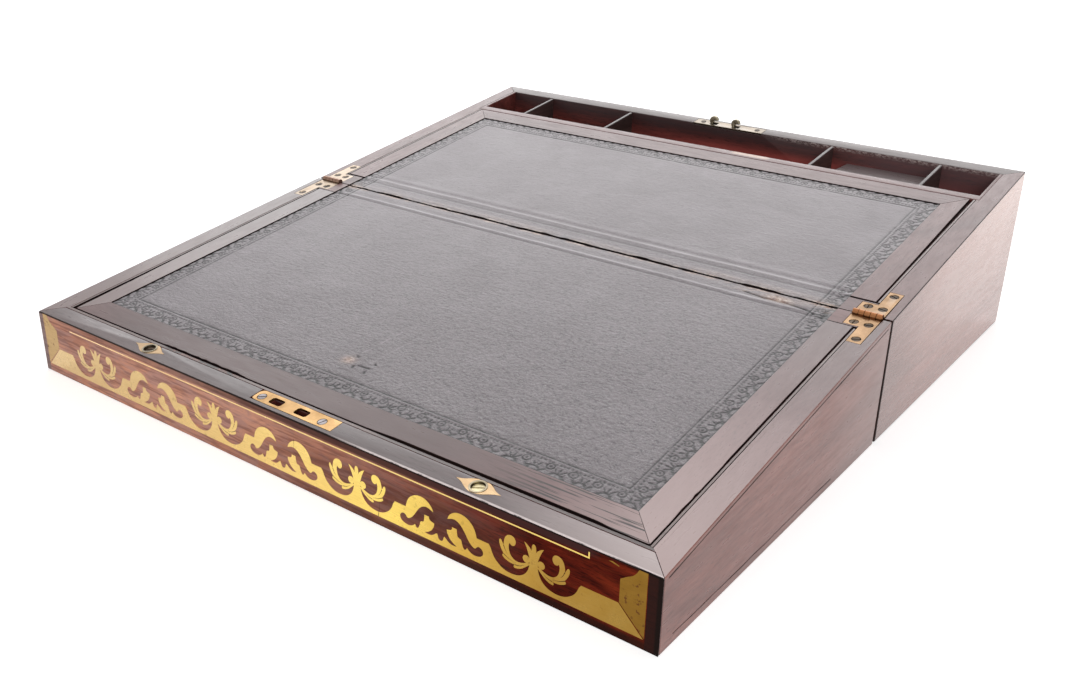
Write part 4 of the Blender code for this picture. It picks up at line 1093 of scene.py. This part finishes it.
def inlay_loops():
    """Every outline of the decorated front with the word that says what it does."""
    loops = [("wood", rectangle(-WIDTH_MM, WIDTH_MM, 0, FRONT_MM)), ("band", BAND)]
    loops += [("edging", rectangle(x0, x1, 0, FRONT_MM)) for x0, x1 in EDGES]
    loops += [("line", TOP_LINE), ("line", TICK), ("corner", CHIP)]
    loops += [("corner", smooth_loop(corner)) for corner in (CORNER, flip(CORNER, CORNER_MIDDLE))]
    for k in (-2, 0, 2):
        x = INLAY_CENTRE + k * INLAY_STEP
        crest = shift(CREST, x)
        loops += [("band", smooth_loop(crest)), ("band", smooth_loop(flip(crest, x)))]
        loops.append(("cut", smooth_loop(shift(both_sides(HOLLOW), x))))
    parts = [("cut", smooth_loop(DIP)), ("top", smooth_loop(SCROLL)), ("top", circle(*BUD))]
    parts += [("slit", stroke(vein, VEIN_WIDTH)) for vein in VEINS]
    for k in (-3, -1, 1, 3):
        x = INLAY_CENTRE + k * INLAY_STEP
        loops.append(("top", smooth_loop(shift(both_sides(CROWN), x))))
        right = [(word, shift(loop, x)) for word, loop in parts]
        loops += right + [(word, flip(loop, x)) for word, loop in right]
    return loops + [("slit", stroke(slit, SLIT_WIDTH)) for slit in SLITS]


def front_kind(words, x):
    """What a piece of the front is made of, from the outlines it lies in."""
    if "corner" in words:
        return "corner_right" if x > 0 else "corner_left"
    if "slit" in words:
        return "edging"
    if "top" in words or ("band" in words and "cut" not in words):
        return "band"
    if "line" in words:
        return "line"
    return "edging" if "edging" in words else "wood"


def at_front(x, z, h):
    return Vector((x * MM, -HALF_DEPTH - h, z * MM))


WOOD_PROUD, BRASS_PROUD = 0.2 * MM, 0.25 * MM
# Name, material and replaced nodes of each piece of the front
FRONT_PIECES = {
    "wood": ("front_veneer", FRONT, ()),
    "edging": ("front_edging", EDGING, ()),
    "band": ("inlay_scroll_band", BRASS, ("inlay_band",)),
    "line": ("inlay_top_line", BRASS_LINE, ("inlay_line",)),
    "corner_left": ("inlay_corner_panel_left", BRASS_OLD, ("inlay_corner_left",)),
    "corner_right": ("inlay_corner_panel_right", BRASS_OLD, ("inlay_corner_right",)),
}


def build_front():
    """The veneered front with its scroll band, corner panels and top line, all flush."""
    named = inlay_loops()
    verts, tris, inside = partition([loop for _, loop in named])
    groups = {}
    for tri, owners in zip(tris, inside):
        kind = front_kind({named[i][0] for i in owners}, verts[tri[0]].x)
        groups.setdefault(kind, []).append(tri)
    for kind, (name, material, gone) in FRONT_PIECES.items():
        slot, proud = ("brass", BRASS_PROUD) if gone else ("rosewood", WOOD_PROUD)
        place(name, panel(verts, groups[kind], at_front, proud, 0.0), material, "lid", slot, gone)


build_front()

# Leather

TOOL_WIDTH = 0.0118
FIELD_STEP, FINE_STEP, BAND_STEP, TEAR_STEP = 1.6 * MM, 0.6 * MM, 0.45 * MM, 0.9 * MM
FOLD_EDGE = {"lid": 0.4 * MM, "base": 1.2 * MM}
FOLD_ZONE, SETTLE = 0.024, 0.0165
SCAR_X, SCAR_A, TEAR_X = (-0.02, 0.012), (0.171, 0.192), 0.135

# Strokes of the first half of the tooled border's repeat, as places along it and across it, with widths
TOOL_STROKES = (
    ((2.2, 11.4), (5.4, 8.7), 1.6), ((9, 11.4), (10.7, 9.2), 1.3), ((13.4, 8.4), (13.4, 5), 1),
    ((12.3, 8.2), (10.4, 5.6), 1), ((0.8, 8.2), (1.6, 5.4), 1),
)
# The repeat's half length, where the tooling starts, and where painted shade starts towards the leather's
# edge, in millimetres
HALF_REPEAT, TOOL_START, EDGE_SHADE_START = 13.4, -1.0, 11.0
SPIRAL, SPIRAL_R = (6.9, 5.3), 2.1
SHELLS, SHELL_ACROSS = ((13.4, 3.2), (0.0, 3.6)), 11.9
BEAD_STEP, BEAD_ACROSS = 2.23, 2.4

# Folds along the crease, as rows of place from the fold, width and height or strength, in millimetres
FOLD_WAVES = {
    "lid": ((11.6, 1.0, 0.3), (14.4, 0.7, -0.34)),
    "base": ((14.0, 0.9, -0.3), (18.2, 1.6, 0.3), (26.0, 2.2, 0.25), (22.0, 1.6, -0.2)),
}
FOLD_SWELL = {"lid": ((5.5, 1.6, 0.12),), "base": ((5.0, 2.0, 0.2),)}
# The next two rows paint shade in the crease's hollows and highlights on its ridges
FOLD_SHADE = {"lid": ((14.5, 0.55, 0.45),), "base": ((13.6, 0.9, 0.5),)}
FOLD_HIGHLIGHTS = {"lid": ((11.0, 1.1, 0.8),), "base": ((19.5, 1.0, 0.6), (26.0, 1.4, 0.3))}
SAG_SHARE = {"lid": 0.5, "base": 0.6}

# Cracks and dark holes in the lid's leather, as places across and down from the fold, with widths
LID_CRACKS = (
    ((138, 6.6), (151, 8.2), 1), ((151, 8.2), (164, 7.8), 1.2), ((164, 7.8), (178, 9.6), 1.3),
    ((178, 9.6), (184, 11.8), 1.5), ((184, 11.8), (189.5, 11.4), 1.6), ((189.8, 7.6), (191.2, 12.6), 3),
    ((158, 3), (161.5, 8.6), 0.9), ((-5.2, 185.4), (-4.6, 186.8), 1.6), ((-10.6, 176.2), (-9.4, 177), 1.5),
    ((-3, 183.6), (5, 183.2), 0.9), ((4.6, 186.6), (5.6, 188), 1.3), ((4.4, 178), (5.6, 178.6), 1.1),
)

# The faint outline of something that once lay on the lid's leather
LID_IMPRESSION = (
    ((-12, 182), (-6.6, 144)), ((0.9, 178.7), (6.3, 140.7)), ((-12, 182), (0.9, 178.7)),
)
IMPRESSION_WIDTH = 1.3


def segment_gap(u, w, a, b):
    """Distance of points from a straight stroke."""
    dx, dy = b[0] - a[0], b[1] - a[1]
    t = np.clip(((u - a[0]) * dx + (w - a[1]) * dy) / (dx * dx + dy * dy), 0, 1)
    return np.hypot(u - a[0] - t * dx, w - a[1] - t * dy)


def pressed(gap, width):
    """How deep a tool of a given width presses, from the distance to its middle."""
    return np.clip(1.25 - gap / (width / 2) * 0.75, 0, 1)


def tooling(t, w):
    """Depth of the tooled border, 0 to 1: shells at the edge, scrolls between them and a row of beads."""
    u = HALF_REPEAT - np.abs(t % (2 * HALF_REPEAT) - HALF_REPEAT)
    bead = np.abs((t + BEAD_STEP / 2) % BEAD_STEP - BEAD_STEP / 2)
    layers = [pressed(np.abs(w), 0.9), pressed(np.hypot(bead, w - BEAD_ACROSS), 1.5)]
    layers += [pressed(segment_gap(u, w, a, b), width) for a, b, width in TOOL_STROKES]
    layers += [pressed(np.abs(np.hypot(u - at, w - SHELL_ACROSS) - radius), 1.2) for at, radius in SHELLS]
    r = np.hypot(u - SPIRAL[0], w - SPIRAL[1])
    layers += [pressed(np.abs(r - SPIRAL_R), 0.95), pressed(r, 1.5)]
    return np.maximum.reduce(layers)


def tooled_border(x, a, half):
    """Depth of the worn and uneven tooling, 0 to 1, and the painted shade along the leather's edge."""
    wx = (np.abs(x) - (LEATHER_X - TOOL_WIDTH)) / MM
    wa = (a - (LEATHER_ENDS[half] - TOOL_WIDTH)) / MM
    sides = wx >= wa
    t = np.where(sides, a / MM, x / MM)
    w = np.where(sides, wx, wa)
    faded = np.clip(0.74 + 0.8 * wander(t, 51, 0.12) * wander(w + t * 0.3, 52, 0.5), 0.2, 1)
    inner = ease(w, 0.5, 2.0)
    along = t + 0.7 * wander(t + 0.6 * w, 53, 0.5) * inner
    across = np.maximum(w, TOOL_START) + 0.45 * wander(t - 0.8 * w, 54, 0.6) * inner
    tool = np.where(w > TOOL_START, tooling(along, across), 0.0) * faded
    return tool, np.clip((w - EDGE_SHADE_START) / 0.5, 0, 1) * 0.95


def fold_edge(x, half):
    """Where the leather ends at the fold, frayed, in metres from the fold."""
    if half == "lid":
        return FOLD_EDGE[half] + np.clip(wander(x, 5, 90), 0, 1) * 0.9 * MM
    middle = bell(x, 0.02, 0.09)
    return FOLD_EDGE[half] + (np.clip(wander(x, 9, 70) + 0.3, 0, 1) + 0.4 * middle) * 1.2 * MM


def leather_relief(x, a, half):
    """Height above the leather's level, darkness with painted shade, wear, and rubbing with painted
    highlights, from places in metres.
    """
    xm, am = x / MM, a / MM
    tool, edge_shade = tooled_border(x, a, half)
    sag = 0.6 * wander(x, 31, 25)
    bent = am + sag * SAG_SHARE[half]
    height = -0.34 * tool + 0.05 * wander(x, 21, 40) * wander(a, 22, 55)
    height += bells(bent, FOLD_WAVES[half]) + bells(am + sag, FOLD_SWELL[half])
    dark = np.maximum.reduce([tool, edge_shade, bells(bent, FOLD_SHADE[half])])
    rubbed = bells(bent, FOLD_HIGHLIGHTS[half]) * (1 - tool)
    wear = [0.9 * bell(am, FOLD_EDGE[half] / MM + 0.4, 1.5) * np.clip(wander(x, 41, 120) + 0.45, 0, 1)]
    if half == "lid":
        height -= 0.14 * bell(am + sag, 26.0, 0.6) * np.clip(wander(x, 33, 30) + 0.2, 0, 1)
        for p, q, width in LID_CRACKS:
            crack = pressed(segment_gap(xm, am, p, q), width)
            dark = np.maximum(dark, crack)
            height -= 0.5 * crack
        for p, q in LID_IMPRESSION:
            line = pressed(segment_gap(xm, am, p, q), IMPRESSION_WIDTH)
            line *= np.clip(0.6 + wander(am, 47, 0.4), 0, 1)
            rubbed = np.maximum(rubbed, 0.55 * line)
            height -= 0.12 * line
        patches = np.clip(0.2 + 0.7 * wander(xm + 2 * am, 43, 0.2), 0, 1)
        wear.append(0.6 * ease(xm, 105, 140) * ease(am, 8.5, 6.0) * patches)
        wear.append(bell(xm, 160, 9) * bell(am, 5.5, 3.5))
        wear.append(0.9 * bell(xm, -12, 4) * bell(am, 182.0, 3.2))
    else:
        wear.append(0.22 * ease(am, 9.0, 6.0) * np.clip(0.6 + 0.8 * wander(x, 45, 30), 0, 1))
    return height * MM - LEATHER_SINK, dark, np.clip(np.maximum.reduce(wear), 0, 1), rubbed


def grid(xs, rows, half):
    """A patch of leather: places across, and rows from the frayed fold edge to a line up the slope."""
    x, a = np.meshgrid(xs, rows)
    first = rows[0]
    if first < SETTLE:
        edge = fold_edge(x, half)
        a = np.where(a < SETTLE, edge + (SETTLE - edge) * (a - first) / (SETTLE - first), a)
    return x, a


def steps(first, *stops):
    """Places along a line from a first one, and pairs of a stop and the step that leads to it."""
    places = [np.array([first])]
    for stop, step in stops:
        last = places[-1][-1]
        count = max(1, int(round(abs(stop - last) / step)))
        places.append(np.linspace(last, stop, count + 1)[1:])
    return np.concatenate(places)


def leather_patches(half):
    """The field, finer where it is torn or scarred, and the border on three sides, finer throughout."""
    line_x, end = LEATHER_X - TOOL_WIDTH, LEATHER_ENDS[half]
    line_a, first = end - TOOL_WIDTH, FOLD_EDGE[half]
    across, rows = [], [(FOLD_ZONE, FINE_STEP)]
    if half == "lid":
        across = [(SCAR_X[0], FIELD_STEP), (SCAR_X[1], FINE_STEP), (TEAR_X, FIELD_STEP)]
        rows += [(SCAR_A[0], FIELD_STEP), (SCAR_A[1], FINE_STEP)]
    last_step = TEAR_STEP if half == "lid" else FIELD_STEP
    fine = steps(first, (line_a, BAND_STEP))
    yield grid(steps(-line_x, *across, (line_x, last_step)), steps(first, *rows, (line_a, FIELD_STEP)), half)
    yield grid(steps(-LEATHER_X, (-line_x, BAND_STEP)), fine, half)
    yield grid(steps(line_x, (LEATHER_X, BAND_STEP)), fine, half)
    yield grid(steps(-LEATHER_X, (LEATHER_X, BAND_STEP)), steps(line_a, (end, BAND_STEP)), half)


def build_leather(half):
    """One skin over the leaf and the fold rail, with a crease drawn in its relief where the leaf meets the
    rail.
    """
    sign = HALF_OF[half]
    points, faces = [], []
    marks = {word: [] for word in LEATHER_MARKS}
    for x, a in leather_patches(half):
        n, *layers = leather_relief(x, a, half)
        first = len(points)
        s = a * sign
        y = s * SLOPE_COS - n * SLOPE_SIN
        z = FOLD_HEIGHT + s * SLOPE_SIN + n * SLOPE_COS
        points += np.stack([x, y, z], -1).reshape(-1, 3).tolist()
        for word, layer in zip(marks, layers):
            marks[word] += layer.ravel().tolist()
        index = np.arange(x.size).reshape(x.shape) + first
        quads = np.stack([index[:-1, :-1], index[:-1, 1:], index[1:, 1:], index[1:, :-1]], -1).reshape(-1, 4)
        faces += (quads[:, ::-1] if sign < 0 else quads).tolist()
    mesh = bpy.data.meshes.new(f"{half}_leather_skin")
    mesh.from_pydata(points, [], faces)
    for word, values in marks.items():
        mesh.attributes.new(word, "FLOAT", "POINT").data.foreach_set("value", values)
    skin = place(f"{half}_leather_skin", mesh, LEATHER, None, "leather", crease=80)
    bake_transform(skin)
    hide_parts(f"{half}_leaf_leather", f"{half}_rail_leather")


build_leather("lid")
build_leather("base")

# Studio

AMBIENT = 0.33
FLOOR_GLOW, FLOOR_FADE = 0.4, (0.6, 1.8)
FLOOR_HALF, FLOOR_DROP = 40.0, 0.2 * MM
WHITE, FLOOR_WHITE = (1, 1, 1, 1), (0.92, 0.92, 0.92, 1)


def floor_material():
    """A plain white floor that keeps the object's shadow."""
    n = Nodes("studio_floor")
    rays = n.add("LightPath").outputs
    seen = n.math("MAXIMUM", rays["Is Camera Ray"], rays["Is Glossy Ray"])
    away = n.add("VectorMath", {0: n.coords()}, operation="LENGTH").outputs["Value"]
    n.put(n.shader, "Emission Color", WHITE)
    n.put(n.shader, "Emission Strength", n.times(seen, n.plus(FLOOR_GLOW, n.span(away, *FLOOR_FADE))))
    n.tone = FLOOR_WHITE
    return n.finish(0.9, specular_ior_level=0.0)


def build_floor():
    mesh = bpy.data.meshes.new("studio_floor")
    corners = rectangle(-FLOOR_HALF, FLOOR_HALF, -FLOOR_HALF, FLOOR_HALF)
    mesh.from_pydata([(x, y, -FLOOR_DROP) for x, y in corners], [], [(0, 1, 2, 3)])
    mesh.materials.append(floor_material())
    floor = link("studio_floor", mesh)


def build_world():
    """A white surround for what is seen and mirrored, and a softer one for what it lights."""
    n = Nodes("studio", "worlds", "Background")
    rays = n.add("LightPath").outputs
    seen = n.math("MAXIMUM", rays["Is Camera Ray"], rays["Is Glossy Ray"])
    seen = n.math("MAXIMUM", seen, rays["Is Transmission Ray"])
    level = n.add("MapRange", {"Value": seen, "To Min": AMBIENT, "To Max": 1.0})
    n.put(n.shader, "Color", WHITE)
    n.put(n.shader, "Strength", level.outputs[0])
    scene.world = n.owner


def softbox(name, at, towards, size, power):
    light = bpy.data.lights.new(name, "AREA")
    light.shape = "RECTANGLE"
    light.size, light.size_y = size
    light.energy = power
    lamp = link(name, light)
    lamp.location = at
    lamp.rotation_euler = (Vector(towards) - Vector(at)).to_track_quat("-Z", "Y").to_euler()


CAMERA_AT = (0.40411, -0.57022, 0.30491)
CAMERA_TURN = [math.radians(v) for v in (36.191, 23.625, 1.333)]
SENSOR, FOCAL_PIXELS, PHOTO_WIDTH = 36.0, 1118.8, 1080


def build_camera():
    """The photograph's camera, from its place, its azimuth, elevation and roll, and its focal length."""
    azimuth, elevation, roll = CAMERA_TURN
    level = math.cos(elevation)
    back = Vector((math.sin(azimuth) * level, -math.cos(azimuth) * level, math.sin(elevation)))
    right = Vector((0, 0, 1)).cross(back).normalized()
    up = back.cross(right)
    c, s = math.cos(roll), math.sin(roll)
    turn = Matrix((c * right + s * up, c * up - s * right, back)).transposed()
    data = bpy.data.cameras.new("photo_camera")
    data.sensor_width = SENSOR
    data.lens = SENSOR * FOCAL_PIXELS / PHOTO_WIDTH
    data.clip_start = 0.01
    camera = link("photo_camera", data)
    camera.matrix_world = Matrix.Translation(CAMERA_AT) @ turn.to_4x4()
    scene.camera = camera


build_floor()
build_world()
softbox("softbox_top", (0.0, -0.1, 1.9), (0, 0, 0.05), (2.2, 2.2), 6)
softbox("softbox_near", (1.5, -1.3, 1.15), (0, 0, 0.05), (1.8, 1.4), 30)
softbox("softbox_back", (-0.92, 1.34, 1.14), (0, 0.05, 0.08), (2.4, 1.6), 25)
build_camera()
scene.view_settings.view_transform = "Standard"
